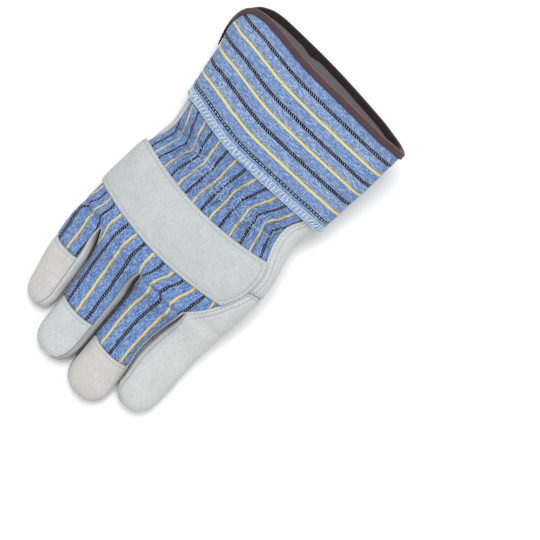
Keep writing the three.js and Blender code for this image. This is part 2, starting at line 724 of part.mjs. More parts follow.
// The tape: a U folded over the ends of the cloth and the lining
function bindingSolid() {
  const [lower, mouth] = cuffRings.slice(-2);
  const outside = layerGap;
  const inside = -clothWall - layerGap - liningWall - layerGap;
  const depth = bindingWidth - tapeReach;
  const places = [];
  const triangles = [];
  const section = [
    [outside + tapeWall, depth],
    [outside + tapeWall, -tapeReach],
    [inside - tapeWall, -tapeReach],
    [inside - tapeWall, depth],
    [inside, depth],
    [inside, -layerGap],
    [outside, -layerGap],
    [outside, depth],
  ];
  mouth.forEach((p, c) => {
    const before = mouth[(c + mouth.length - 1) % mouth.length];
    const after = mouth[(c + 1) % mouth.length];
    const alongRim = after.clone().sub(before).normalize();
    const column = lower[c].clone().sub(p);
    const steep = Math.sqrt(1 - (alongRim.dot(column) / column.length()) ** 2);
    const normalAt = (point) => cuff.normals[cuff.point(point)];
    for (const [height, down] of section) {
      const share = down / column.length() / Math.max(steep, steepestRim);
      const normal = mixPoints(normalAt(p), normalAt(lower[c]), Math.max(0, share));
      places.push(p.clone().addScaledVector(column, share).addScaledVector(normal, height));
    }
    const n = section.length;
    const here = c * n;
    const next = ((c + 1) % mouth.length) * n;
    for (let k = 0; k < n; k += 1) {
      const k2 = (k + 1) % n;
      triangles.push([here + k, next + k, next + k2], [here + k, next + k2, here + k2]);
    }
  });
  return solid(places, triangles);
}

// The half-round patch over the pulse
const patch = new Skin();
const patchRings = patchRows.map((rise) => {
  const half = patchHalfWidth * (1 - rise ** patchCurve) ** (1 / patchCurve);
  const y = cuffStartY + layerGap + patchHeight * rise;
  return [...Array(acrossPatch + 1).keys()].map((i) => {
    const x = patchX + half * (1 - (2 * i) / acrossPatch);
    return new THREE.Vector3(x, y, wideSection(cuffSections, y).surface(x, false));
  });
});
for (let r = 0; r < patchRings.length - 1; r += 1)
  patch.strip(() => "patch", patchRings[r], patchRings[r + 1]);
patch.finish();

// Finishes
const material = (color, roughness) => new THREE.MeshStandardMaterial({ color, roughness, metalness: 0 });
const leather = material("#c9cfce", 0.9);
const cloth = material("#6d8fc7", 0.85);
const tape = material("#4c3133", 0.8);
const liningCloth = material("#6a6a6a", 0.9);

// Each sewn piece: a slab of a skin between two heights, or a solid of its own
const only = (piece) => (name) => name === piece;
const leatherSlab = (skin, piece) => slab(skin, only(piece), 0, -leatherWall);
const overLayer = layerGap + leatherWall;
const liningTop = -clothWall - layerGap;
const pieces = {
  back_panel: [slab(hand, only("back"), 0, -clothWall), cloth],
  palm: [leatherSlab(hand, "palm"), leather],
  index_back: [leatherSlab(hand, "index_back"), leather],
  front_ring: [leatherSlab(hand, "front_ring"), leather],
  front_middle: [leatherSlab(hand, "front_middle"), leather],
  tip_pinky: [leatherSlab(hand, "tip_pinky"), leather],
  tip_ring: [leatherSlab(hand, "tip_ring"), leather],
  tip_middle: [leatherSlab(hand, "tip_middle"), leather],
  fourchette_pinky_ring: [leatherSlab(hand, "fourchette_pinky_ring"), leather],
  fourchette_ring_middle: [leatherSlab(hand, "fourchette_ring_middle"), leather],
  fourchette_middle_index: [leatherSlab(hand, "fourchette_middle_index"), leather],
  knuckle_strap: [slab(strap, only("strap"), overLayer, layerGap), leather],
  thumb_front: [slab(thumb, only("thumb_front"), 0, -leatherWall, underPalm), leather],
  thumb_back: [slab(thumb, only("thumb_back"), 0, -leatherWall, underPalm), leather],
  pulse_patch: [slab(patch, only("patch"), overLayer, layerGap), leather],
  cuff: [slab(cuff, () => true, 0, -clothWall), cloth],
  cuff_lining: [slab(cuff, only("lined"), liningTop, liningTop - liningWall), liningCloth],
  cuff_binding: [bindingSolid(), tape],
};

const glove = new THREE.Group();
for (const [name, [geometry, finish]] of Object.entries(pieces)) {
  const mesh = new THREE.Mesh(geometry, finish.clone());
  mesh.name = name;
  glove.add(mesh);
}

// The origin is under the middle of the whole glove, on the surface it lies on
const extent = new THREE.Box3().setFromObject(glove, true);
const middle = extent.getCenter(new THREE.Vector3());
glove.position.set(-middle.x, -middle.y, -extent.min.z);

export default glove;
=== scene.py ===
# A right-hand leather palm work glove, lying palm down with its thumb folded under it.
# The tables are in millimetres in the glove's own frame: x runs from the little finger
# to the index side, y from the fingertips to the mouth of the cuff, z is up.
import math
from functools import partial

import bpy
import numpy as np
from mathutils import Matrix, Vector
from mathutils.bvhtree import BVHTree
from mathutils.kdtree import KDTree


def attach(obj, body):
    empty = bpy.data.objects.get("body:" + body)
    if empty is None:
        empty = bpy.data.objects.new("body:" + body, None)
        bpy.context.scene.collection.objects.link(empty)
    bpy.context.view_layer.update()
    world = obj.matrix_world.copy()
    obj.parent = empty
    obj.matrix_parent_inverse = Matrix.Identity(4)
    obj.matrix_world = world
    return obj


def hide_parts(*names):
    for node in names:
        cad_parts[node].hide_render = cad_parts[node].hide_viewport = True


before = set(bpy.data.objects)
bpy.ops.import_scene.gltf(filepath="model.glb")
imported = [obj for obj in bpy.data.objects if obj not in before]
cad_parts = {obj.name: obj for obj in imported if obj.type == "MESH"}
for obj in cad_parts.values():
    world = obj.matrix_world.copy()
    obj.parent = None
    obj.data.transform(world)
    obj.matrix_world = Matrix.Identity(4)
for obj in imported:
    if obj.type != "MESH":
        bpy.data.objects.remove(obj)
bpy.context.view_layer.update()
mm = 0.001
tableShift = np.array([3.96, 9.76, 0.0])  # from the tables' zero to the frame's origin

# The view that the stripes were measured in: straight down, over this point
eye = {"x": 55.7, "y": 2.2, "height": 1300.0, "plane": 30.0, "wide": 340.2, "roll": 45.0}

walls = {"leather": 1.6, "cloth": 1.1, "lining": 1.0, "tape": 0.9}
layerGap = 0.35  # between layers that lie on each other
seamGap = 0.07  # from the edge of a piece to its seam
stripePitch = 9.0  # from a black line to the next yellow one, as the cloth's weave counts
fineLevels = 3  # each quad of a cage becomes 64
# How full the sections are: 2 is an ellipse, and more is squarer
fullness = {"palm": 2.5, "finger": 2.5, "thumb": 2.8, "tape": 2.6}
acrossFinger = 5  # quads
downSide = 4
clothOnSide = 2

handSections = {
    "y": [-50.0, -41.0, -28.0, -11.0, 2.0, 12.0, 25.5, 38.0, 47.6, 54.0],
    "left": [-59.0, -59.0, -58.7, -58.3, -57.8, -56.5, -55.5, -57.0, -58.4, -58.6],
    "right": [64.2, 64.9, 65.3, 65.0, 62.6, 58.8, 56.0, 57.2, 58.4, 58.4],
    "seam": [37.0, 44.5, 52.0, 57.0, 54.0, 48.5, 44.3, 46.0, 49.0, 49.0],
    "leftZ": [14.5, 18.0, 21.0, 22.5, 22.5, 20.5, 18.0, 17.0, 16.0, 15.6],
    "rightZ": [16.0, 20.5, 24.5, 26.5, 26.5, 25.0, 22.0, 21.0, 21.0, 21.2],
    "top": [34.0, 38.0, 41.0, 42.5, 41.5, 38.0, 33.0, 34.0, 35.0, 35.1],
    "bottom": [6.0, 10.5, 14.5, 16.0, 16.2, 16.0, 15.0, 12.5, 10.6, 10.0],
}
strap = {"start": -32.0, "end": 6.8}
indexSeamY = -16.0
cuffStartY = 47.6
rootY = -50.0  # the roots of the fingers
handRows = [rootY, -45.5, -40, strap["start"], -24, indexSeamY, -2, strap["end"], 16, 25.5, 34, 42,
            cuffStartY, 54]
handSideAngles = [20, 6, -6, -13, -20]
wristSideAngles = [34, 28, 22, 0, -20]
wrist = {"start": 4.0, "full": 22.0}
# On the palm side the seam at the roots of the two middle fingers is scalloped
scallop = {"firstFinger": 1, "lastFinger": 2, "depth": 4.5}

crotchXs = [-38.0, 0.5, 37.0]
fingerSideAngles = [38, 14, -8, -24, -38]
fingerCorner = 38.0
fingerBlend = 20.0  # a finger takes its own section over this length
bowReach = 16.0
fingers = [
    {"name": "pinky", "seamY": -79, "roundY": -103, "tipY": -119.7, "tipX": -37, "roll": 18,
     "leftCorner": 38, "rightCorner": 38, "seamBow": 2.5,
     "y": [-60, -75, -92, -104], "left": [-59.4, -57.8, -54.6, -50.8],
     "right": [-34.6, -31.6, -29.2, -27.6], "thick": [22, 21, 19.5, 18], "floor": [2.2, 0, 0, 0]},
    {"name": "ring", "seamY": -104, "roundY": -121, "tipY": -137.3, "tipX": -9, "roll": 9,
     "leftCorner": 10, "rightCorner": 36, "seamBow": 3.5,
     "y": [-60, -75, -95, -120], "left": [-33.8, -30.4, -28.2, -24.8],
     "right": [0.2, 2.4, 3.8, 5.8], "thick": [25, 23, 21, 18.5], "floor": [2.2, 0, 0, 0]},
    {"name": "middle", "seamY": -108.3, "roundY": -125, "tipY": -141.6, "tipX": 24, "roll": 0,
     "leftCorner": 12, "rightCorner": 16, "seamBow": 4.0,
     "y": [-60, -75, -95, -108, -124], "left": [1.6, 3.3, 4.4, 5.1, 6.7],
     "right": [35.3, 33.3, 32.8, 35.6, 38.9], "thick": [25, 23, 21.5, 20.5, 19],
     "floor": [2.2, 0, 0, 0, 0]},
    {"name": "index", "seamY": -92, "roundY": -109, "tipY": -125.3, "tipX": 50.5, "roll": -7,
     "leftCorner": 34, "rightCorner": 38, "seamBow": 0.0,
     "y": [-60, -78, -96, -108], "left": [36.7, 34.6, 34.6, 37.0],
     "right": [63.6, 63.5, 64.8, 65.2], "thick": [25, 23, 21, 19.5], "floor": [2.2, 0, 0, 0]},
]
# Shares of the way to the seam of the fingertip's cap, to the round end and to the tip
fingerRows = [[0.1, 0.28, 0.52, 0.76, 1], [0.5, 1], [0.36, 0.64, 0.84, 0.96]]
tipShape = {"wideCurve": 2.2, "tallCurve": 3.0, "lift": 3.0, "squash": 1.5}

bows = {"y": [-112, -75, -50, -32, 6.8, 20, 34, 47.6], "bow": [0, 2, 7, 9, 9.5, 6, 2, 0], "half": 62.0}
wristBend = {"start": 27.6, "end": 47.6, "turn": math.radians(17)}


def readTable(table, at, column, key="y"):
    # a smooth curve through one column, read at some places along it
    order = np.argsort(table[key])
    places = np.array(table[key], float)[order]
    values = np.array(table[column], float)[order]
    slopes = np.zeros_like(values)
    slopes[1:-1] = (values[2:] - values[:-2]) / (places[2:] - places[:-2])
    slopes[0] = (values[1] - values[0]) / (places[1] - places[0])
    slopes[-1] = (values[-1] - values[-2]) / (places[-1] - places[-2])
    at = np.clip(at, places[0], places[-1])
    i = np.clip(np.searchsorted(places, at, side="left") - 1, 0, len(places) - 2)
    step = places[i + 1] - places[i]
    t = (at - places[i]) / step
    start = (2 * t**3 - 3 * t**2 + 1) * values[i] + (t**3 - 2 * t**2 + t) * step * slopes[i]
    return start + (3 * t**2 - 2 * t**3) * values[i + 1] + (t**3 - t**2) * step * slopes[i + 1]


def mix(a, b, t):
    return a + (b - a) * t


def ease(t):
    t = np.clip(t, 0, 1)
    return t * t * (3 - 2 * t)


def hump(distance, width):
    return np.exp(-((distance / width) ** 2))


def swell(value, power):
    return np.sign(value) * np.abs(value) ** (2 / power)


def within(values, low, high, fade):
    # 1 between low and high, fading to 0 at both ends
    return ease((values - low) / fade) * ease((high - values) / fade)


def unit(vectors):
    return vectors / np.maximum(np.linalg.norm(vectors, axis=1), 1e-9)[:, None]


def waves(points, size, seed, count=28):
    # a smooth random field with features about size across, near -1 to 1
    draw = np.random.default_rng(seed)
    directions = unit(draw.normal(size=(count, points.shape[1])))
    directions *= (2 * math.pi / size) * draw.uniform(0.6, 1.5, (count, 1))
    phases = draw.uniform(0, 2 * math.pi, count)
    return np.cos(points @ directions.T + phases).sum(1) / math.sqrt(count)


def relief(points, *fields):
    # waves added up, each with its height, size and seed
    return sum(height * waves(points, size, seed) for height, size, seed in fields)


def evened(path, rounds):
    path = path.copy()
    for _ in range(rounds):
        path[1:-1] = (path[:-2] + 2 * path[1:-1] + path[2:]) / 4
    return path


def sectionAt(table, y):
    return {c: readTable(table, y, c) for c in ("left", "right", "leftZ", "rightZ", "top", "bottom")}


def surfaceZ(table, x, y, upper):
    # height of the upper or lower side of a wide section
    s = sectionAt(table, y)
    share = np.clip((x - (s["left"] + s["right"]) / 2) / ((s["right"] - s["left"]) / 2), -1, 1)
    rise = (1 - np.abs(share) ** fullness["palm"]) ** (1 / fullness["palm"])
    tall = (s["top"] if upper else s["bottom"]) - (s["leftZ"] + s["rightZ"]) / 2
    return mix(s["leftZ"], s["rightZ"], (share + 1) / 2) + rise * tall


def atAngle(table, y, degrees):
    # the point of a wide section at an angle, 0 at its right edge
    s = sectionAt(table, y)
    share = swell(np.cos(np.radians(degrees)), fullness["palm"])
    rise = swell(np.sin(np.radians(degrees)), fullness["palm"])
    tall = np.where(rise > 0, s["top"], s["bottom"]) - (s["leftZ"] + s["rightZ"]) / 2
    x = (s["left"] + s["right"]) / 2 + share * (s["right"] - s["left"]) / 2
    z = mix(s["leftZ"], s["rightZ"], (share + 1) / 2) + np.abs(rise) * tall
    return np.stack(np.broadcast_arrays(x, y, z), axis=-1)


def sideAngles(y):
    t = ease((y - wrist["start"]) / (wrist["full"] - wrist["start"]))
    return [mix(a, b, t) for a, b in zip(handSideAngles, wristSideAngles)]


partLeft = atAngle(handSections, rootY, 180 - handSideAngles[0])[0]
partRight = atAngle(handSections, rootY, handSideAngles[0])[0]
seamShares = [(x - partLeft) / (crotchXs[2] - partLeft) for x in crotchXs]
edgeShares = [(x - partLeft) / (partRight - partLeft) for x in crotchXs]


def spread(bounds):
    xs = [bounds[0]]
    for a, b in zip(bounds, bounds[1:]):
        xs += [mix(a, b, j / acrossFinger) for j in range(1, acrossFinger + 1)]
    return np.array(xs)


def handRing(y):
    # a ring round the hand in four runs: the top from left to right, and on round
    leftAngles = sideAngles(y)
    topLeft = atAngle(handSections, y, 180 - leftAngles[0])[0]
    topRight = atAngle(handSections, y, handSideAngles[0])[0]
    lowLeft = atAngle(handSections, y, 180 - leftAngles[downSide])[0]
    lowRight = atAngle(handSections, y, handSideAngles[downSide])[0]
    seamAt = readTable(handSections, y, "seam")
    topXs = spread([topLeft, *[mix(topLeft, seamAt, share) for share in seamShares[:2]], seamAt, topRight])
    lowXs = spread([lowLeft, *[mix(lowLeft, lowRight, share) for share in edgeShares], lowRight])
    top = np.stack([topXs, topXs * 0 + y, surfaceZ(handSections, topXs, y, True)], axis=1)
    low = np.stack([lowXs, lowXs * 0 + y, surfaceZ(handSections, lowXs, y, False)], axis=1)
    if y == rootY:
        first = scallop["firstFinger"] * acrossFinger
        last = (scallop["lastFinger"] + 1) * acrossFinger
        arch = np.abs(np.sin(np.pi * np.arange(last - first + 1) / acrossFinger))
        low[first:last + 1, 1] += scallop["depth"] * arch
    right = atAngle(handSections, y, np.array(handSideAngles))
    left = atAngle(handSections, y, 180 - np.array(leftAngles[::-1]))
    return {"top": top, "right": right, "bottom": low[::-1], "left": left}


def fingerRing(finger, y, outerLeft, outerRight):
    # the same four runs round a finger, whose outer side carries on the side of the hand
    at = {c: readTable(finger, y, c) for c in ("left", "right", "thick", "floor")}
    past = np.clip((finger["roundY"] - y) / (finger["roundY"] - finger["tipY"]), 0, 1)
    thin = (1 - past**tipShape["tallCurve"]) ** (1 / tipShape["tallCurve"])
    narrow = (1 - past**tipShape["wideCurve"]) ** (1 / tipShape["wideCurve"])
    middle = mix((at["left"] + at["right"]) / 2, finger["tipX"], past)
    half = (at["right"] - at["left"]) / 2 * narrow
    floor = max(0, at["floor"]) + tipShape["lift"] * past**3
    turn = math.radians(finger["roll"])
    left, right, outer = finger["leftCorner"], finger["rightCorner"], np.array(fingerSideAngles)
    low = fingerCorner
    runs = {
        "top": np.linspace(180 - left, right, acrossFinger + 1),
        "right": outer if outerRight else np.linspace(right, -low, downSide + 1),
        "bottom": np.linspace(-low, low - 180, acrossFinger + 1),
        "left": 180 - outer[::-1] if outerLeft else np.linspace(low - 180, -180 - left, downSide + 1),
    }
    flat, bow = {}, {}
    for run, degrees in runs.items():
        cosine, sine = np.cos(np.radians(degrees)), np.sin(np.radians(degrees))
        across = half * swell(cosine, fullness["finger"])
        up = at["thick"] / 2 * thin * swell(sine, fullness["finger"])
        flat[run] = np.stack([across * math.cos(turn) - up * math.sin(turn),
                              across * math.sin(turn) + up * math.cos(turn)], axis=1)
        upper = (1 + swell(sine, fullness["finger"])) / 2
        bow[run] = finger["seamBow"] * hump(y - finger["seamY"], bowReach) * upper * cosine**2
    around = np.concatenate(list(flat.values()))
    low, high = around.min(0), around.max(0)
    ring = {}
    for run, p in flat.items():
        share = (p[:, 0] - low[0]) / (high[0] - low[0])
        z = np.maximum(floor, floor + p[:, 1] - low[1] - tipShape["squash"] * thin)
        ring[run] = np.stack([middle + half * (2 * share - 1), y + bow[run], z], axis=1)
    return ring


def fingerRings(number):
    # from the end of the hand to the fingertip
    finger = fingers[number]
    outerLeft, outerRight = number == 0, number == len(fingers) - 1
    hand = handRing(rootY)
    start, end, last = number * acrossFinger, (number + 1) * acrossFinger, len(fingers) * acrossFinger
    top, bottom = hand["top"][start:end + 1], hand["bottom"][last - end:last - start + 1]
    steps = np.linspace(0, 1, downSide + 1)[:, None]
    root = {
        "top": top,
        "right": hand["right"] if outerRight else mix(top[-1], bottom[0], steps),
        "bottom": bottom,
        "left": hand["left"] if outerLeft else mix(bottom[-1], top[0], steps),
    }
    stops = [rootY, finger["seamY"], finger["roundY"], finger["tipY"]]
    rings = [root]
    for y in [mix(a, b, f) for a, b, shares in zip(stops, stops[1:], fingerRows) for f in shares]:
        share = np.clip((rootY - y) / fingerBlend, 0, 1)
        own = fingerRing(finger, y, outerLeft, outerRight)
        ring = {}
        for run, p in root.items():
            q = own[run]
            x = mix(p[:, 0], q[:, 0], 1 - (1 - share) ** 3)
            rowY = q[:, 1] + (p[:, 1] - rootY) * (1 - share) ** 2
            ring[run] = np.stack([x, rowY, mix(p[:, 2], q[:, 2], ease(share))], axis=1)
        rings.append(ring)
    return rings


pieceNames = ["back_panel", "palm", "index_back", "front_ring", "front_middle", "tip_pinky", "tip_ring",
              "tip_middle", "fourchette_pinky_ring", "fourchette_ring_middle", "fourchette_middle_index",
              "thumb_front", "thumb_back"]


class Cage:
    # coarse quads, each tagged with the sewn piece that it belongs to
    def __init__(self):
        self.points, self.found, self.faces, self.tags, self.straps = [], {}, [], [], []

    def point(self, p):
        key = tuple(np.round(np.asarray(p) * 2000).astype(int))  # one point to within 1/2000 mm
        if key not in self.found:
            self.found[key] = len(self.points)
            self.points.append(np.array(p, float))
        return self.found[key]

    def face(self, piece, corners, strapped=0):
        ids = [self.point(p) for p in corners]
        ids = [a for a, b in zip(ids, ids[1:] + ids[:1]) if a != b]
        self.faces.append(ids)
        self.tags.append(pieceNames.index(piece))
        self.straps.append(strapped)

    def strip(self, pieceAt, near, far, strapAt=lambda j: 0):
        for j in range(len(near) - 1):
            if pieceAt(j) != "hole":
                self.face(pieceAt(j), [near[j], near[j + 1], far[j + 1], far[j]], strapAt(j))


clothColumns = (len(fingers) - 1) * acrossFinger
thumbHole = {"firstY": -2, "lastY": 34, "firstColumn": 4, "lastColumn": 10}


def handCage():
    cage = Cage()
    leftLeather = downSide - clothOnSide
    for y, nextY in zip(handRows, handRows[1:]):
        near, far = handRing(y), handRing(nextY)
        overIndex = "index_back" if y < indexSeamY else "palm"
        inHole = thumbHole["firstY"] <= y < thumbHole["lastY"]
        strapped = int(strap["start"] <= y < strap["end"])
        cage.strip(lambda j: "back_panel" if j < clothColumns else overIndex, near["top"], far["top"],
                   lambda j: strapped if j < clothColumns else 0)
        cage.strip(lambda j: overIndex if j < clothOnSide else "palm", near["right"], far["right"])
        cage.strip(lambda j: "hole" if inHole and thumbHole["firstColumn"] <= j < thumbHole["lastColumn"]
                   else "palm", near["bottom"], far["bottom"])
        cage.strip(lambda j: "palm" if j < leftLeather else "back_panel", near["left"], far["left"],
                   lambda j: 0 if j < leftLeather else strapped)
    names = [finger["name"] for finger in fingers]
    for k, name in enumerate(names):
        rings = fingerRings(k)
        isFirst, isLast = k == 0, k == len(fingers) - 1
        front = "palm" if isFirst or isLast else "front_" + name
        for r in range(len(rings) - 1):
            cover = "index_back" if isLast else "back_panel" if r < len(fingerRows[0]) else "tip_" + name
            near, far = rings[r + 1], rings[r]
            cage.strip(lambda j: cover, near["top"], far["top"])
            cage.strip(lambda j: f"fourchette_{name}_{names[k + 1]}" if not isLast else
                       cover if j < clothOnSide else front, near["right"], far["right"])
            cage.strip(lambda j: front, near["bottom"], far["bottom"])
            cage.strip(lambda j: f"fourchette_{names[k - 1]}_{name}" if not isFirst else
                       front if j < leftLeather else cover, near["left"], far["left"])
        # the fingertip is closed by an upper and a lower half, which meet half way down
        end = rings[-1]
        low, high = end["bottom"][::-1], end["top"]
        halfWay = mix(low, high, 0.5)
        cage.strip(lambda j: front, low, halfWay)
        cage.strip(lambda j: cover, halfWay, high)
        for side, corner, first, second in ((end["right"], halfWay[-1], cover, front),
                                            (end["left"], halfWay[0], front, cover)):
            half = len(side) // 2
            cage.face(first, [corner, *side[half::-1]])
            cage.face(second, [corner, *side[:half - 1:-1]])
    return cage


# The thumb grows from a hole in the palm, bends under and runs towards the ring finger
thumb = {"bendRadius": 2.2, "holeCorner": 4.0, "holeEnd": 1.0, "bendDrop": 0.5, "squash": 1.0,
         "bend": (-17.0, 4.0), "tip": (-36.0, -8.0)}
thumbBends = {"turn": [14, 30, 50, 72, 90], "reach": [36.4, 29.5, 20.0, 16.1, 15.3],
              "middleY": [13.0, 11.0, 8.6, 6.2, 4.0], "halfWide": [22.6, 22.8, 22.4, 21.8, 21.4]}
thumbSections = {"along": [0.28, 0.55, 0.72, 0.86, 0.95], "halfWide": [20.6, 19.6, 17.6, 13.6, 8.4],
                 "thick": [13.0, 12.8, 12.4, 11.0, 8.6]}


def underPalm(x, y):
    return surfaceZ(handSections, x, y, False) - layerGap


def thumbCage():
    cage = Cage()
    rows = [y for y in handRows if thumbHole["firstY"] <= y <= thumbHole["lastY"]]
    first, last = thumbHole["firstColumn"], thumbHole["lastColumn"]
    grid = np.array([handRing(y)["bottom"][first:last + 1] for y in rows])
    half = grid.shape[1] // 2
    rim = np.concatenate([grid[0, half:-1], grid[:-1, -1], grid[-1, :0:-1], grid[:0:-1, 0], grid[0, :half]])
    low, high = rim.min(0), rim.max(0)
    middle = (low + high) / 2
    first = rim.copy()
    onSide = np.minimum(rim[:, 0] - low[0], high[0] - rim[:, 0]) < thumb["holeCorner"]
    onEnd = np.minimum(rim[:, 1] - low[1], high[1] - rim[:, 1]) < thumb["holeEnd"]
    first[:, 0] += walls["leather"] * np.sign(rim[:, 0] - middle[0]) * onSide
    first[:, 1] += walls["leather"] * np.sign(rim[:, 1] - middle[1]) * onEnd
    first[:, 2] = underPalm(first[:, 0], first[:, 1])
    radius = thumb["bendRadius"]
    pivotX = low[0] - walls["leather"] - radius
    pivotZ = underPalm(pivotX, middle[1])
    angles = np.radians(np.arange(len(rim)) / len(rim) * 360 - 90)
    inward, sideways = swell(np.cos(angles), fullness["thumb"]), swell(np.sin(angles), fullness["thumb"])
    rings = [first]
    for bend, (turn, reach, middleY, halfWide) in enumerate(zip(*thumbBends.values())):
        out = (radius + reach) / 2 - (reach - radius) / 2 * inward
        x = pivotX + out * math.cos(math.radians(turn))
        y = middleY + halfWide * sideways
        hanging = pivotZ - out * math.sin(math.radians(turn))
        z = np.minimum(hanging, underPalm(x, y) - (bend + 1) * thumb["bendDrop"])
        rings.append(np.stack([x, y, np.maximum(0, z)], axis=1))
    start = np.array([pivotX, thumbBends["middleY"][-1]])
    turnAt, tip = np.array(thumb["bend"]), np.array(thumb["tip"])
    for along, halfWide, thick in zip(*thumbSections.values()):
        centre = (1 - along) ** 2 * start + 2 * along * (1 - along) * turnAt + along**2 * tip
        ahead = 2 * (1 - along) * (turnAt - start) + 2 * along * (tip - turnAt)
        ahead /= np.linalg.norm(ahead)
        across = halfWide * sideways
        up = np.maximum(0, thick / 2 * (1 + inward) - thumb["squash"])
        rings.append(np.stack([centre[0] + ahead[1] * across, centre[1] - ahead[0] * across, up], axis=1))
    halfWay = len(rows) - 1 + grid.shape[1] - 1
    n = len(rim)
    for ring, following in zip(rings, rings[1:]):
        for i in range(n):
            j = (i + 1) % n
            side = "thumb_front" if i < halfWay else "thumb_back"
            cage.face(side, [ring[i], ring[j], following[j], following[i]])
    end = rings[-1]
    for k in range(halfWay):
        cage.face("thumb_back", [end[k], end[k + 1], end[n - k - 1], end[(n - k) % n]])
    return cage


def link(obj):
    bpy.context.scene.collection.objects.link(obj)
    return obj


def evaluatedMesh(obj):
    return bpy.data.meshes.new_from_object(obj.evaluated_get(bpy.context.evaluated_depsgraph_get()))


def readMesh(mesh):
    points = np.empty(len(mesh.vertices) * 3, np.float32)
    mesh.vertices.foreach_get("co", points)
    corners = np.empty(len(mesh.loops), np.int32)
    mesh.loops.foreach_get("vertex_index", corners)
    return points.reshape(-1, 3).astype(float), corners.reshape(-1, 4)


def pointNormals(points, faces):
    cross = np.cross(points[faces[:, 2]] - points[faces[:, 0]], points[faces[:, 3]] - points[faces[:, 1]])
    normals = np.zeros_like(points)
    for corner in range(4):
        np.add.at(normals, faces[:, corner], cross)
    return unit(normals)


def skinOf(points, faces, tags):
    starts, ends = faces.ravel(), np.roll(faces, -1, axis=1).ravel()
    key = starts.astype(np.int64) * len(points) + ends
    order = np.argsort(key)
    wanted = ends.astype(np.int64) * len(points) + starts
    found = order[np.clip(np.searchsorted(key[order], wanted), 0, len(key) - 1)]
    reverse = np.where(key[found] == wanted, found, -1)  # the same edge in the face beside it
    return {"points": points, "faces": faces, "normals": pointNormals(points, faces), **tags,
            "starts": starts, "ends": ends, "reverse": reverse}


pull = {"rounds": 3, "share": 0.8}  # draws the smooth skin to the cage's points


def smoothed(cage):
    # the cage as a fine smooth skin that still goes through the cage's points
    mesh = bpy.data.meshes.new("cage")
    mesh.from_pydata([list(p) for p in cage.points], [], cage.faces)
    for name, values in (("piece", cage.tags), ("strap", cage.straps)):
        mesh.attributes.new(name, "INT", "FACE").data.foreach_set("value", values)
    obj = link(bpy.data.objects.new("cage", mesh))
    modifier = obj.modifiers.new("smooth", "SUBSURF")
    modifier.levels = modifier.render_levels = fineLevels
    wanted = np.array(cage.points)
    held = wanted.copy()
    for _ in range(pull["rounds"]):
        mesh.vertices.foreach_set("co", held.astype(np.float32).ravel())
        mesh.update()
        fine = evaluatedMesh(obj)
        points, faces = readMesh(fine)
        held += pull["share"] * (wanted - points[:len(wanted)])
    tags = {}
    for name in ("piece", "strap"):
        tags[name] = np.empty(len(faces), np.int32)
        fine.attributes[name].data.foreach_get("value", tags[name])
    bpy.data.objects.remove(obj)
    return skinOf(points, faces, tags)


def facesOf(skin, piece):
    return skin["piece"] == pieceNames.index(piece)


def usedPoints(skin, chosen):
    used = np.unique(skin["faces"][chosen])
    return skin["points"][used], skin["normals"][used]


def edgesOf(skin, chosen, others=None):
    # directed edges round the chosen faces, or only those beside the named pieces
    inside = np.repeat(chosen, 4)
    reverse = skin["reverse"]
    edge = inside & ~((reverse >= 0) & inside[reverse])
    if others is not None:
        beyond = np.where(reverse >= 0, np.repeat(skin["piece"], 4)[reverse], -1)
        edge &= np.isin(beyond, [pieceNames.index(o) if o != "free" else -1 for o in others])
    return skin["starts"][edge], skin["ends"][edge]


def distanceTo(points, a, b):
    # how far each point is from the nearest of the segments from a to b
    best = np.full(len(points), 1e3)
    if len(a) == 0:
        return best
    tree = KDTree(len(a))
    for i, p in enumerate((a + b) / 2):
        tree.insert(p, i)
    tree.balance()
    near = np.array([[hit[1] for hit in tree.find_n(p, 3)] for p in points])
    for column in near.T:
        d = b[column] - a[column]
        t = np.clip(((points - a[column]) * d).sum(1) / np.maximum((d * d).sum(1), 1e-12), 0, 1)
        best = np.minimum(best, np.linalg.norm(points - a[column] - t[:, None] * d, axis=1))
    return best


def edgeDistance(skin, chosen, others=None):
    starts, ends = edgesOf(skin, chosen, others)
    return distanceTo(usedPoints(skin, chosen)[0], skin["points"][starts], skin["points"][ends])


def chains(starts, ends):
    # loose directed edges put in order, as runs of point numbers
    following = dict(zip(starts.tolist(), ends.tolist()))
    runs = []
    heads = [s for s in following if s not in set(following.values())] + list(following)
    for head in heads:
        if head not in following:
            continue
        run = [head]
        while run[-1] in following:
            run.append(following.pop(run[-1]))
        runs.append(np.array(run))
    return runs


def bent(p):
    # the bow of the rows across the back, and the bend at the wrist
    aside = np.clip(np.abs(p[:, 0]) / bows["half"], 0, 1)
    y = p[:, 1] - readTable(bows, p[:, 1], "bow") * (1 - aside**2)
    span = wristBend["end"] - wristBend["start"]
    radius = span / wristBend["turn"]
    angle = wristBend["turn"] * np.clip((y - wristBend["start"]) / span, 0, 1)
    beyond = np.maximum(0, y - wristBend["end"])
    return np.stack([
        p[:, 0],
        np.minimum(y, wristBend["start"]) + (radius - p[:, 2]) * np.sin(angle) + beyond * np.cos(angle),
        radius - (radius - p[:, 2]) * np.cos(angle) + beyond * np.sin(angle),
    ], axis=1)


def seenFromAbove(p):
    # where the camera sees a point, in mm on the plane that the stripes were measured in
    scale = (eye["height"] - eye["plane"]) / (eye["height"] - p[:, 2])
    return eye["x"] + (p[:, 0] - eye["x"]) * scale, eye["y"] + (p[:, 1] - eye["y"]) * scale


def placed(p):
    # the glove's own millimetres as metres in the shared frame, never under the floor
    q = bent(p)
    q[:, 2] = np.maximum(q[:, 2], 0.02)
    return (q + tableShift) * mm


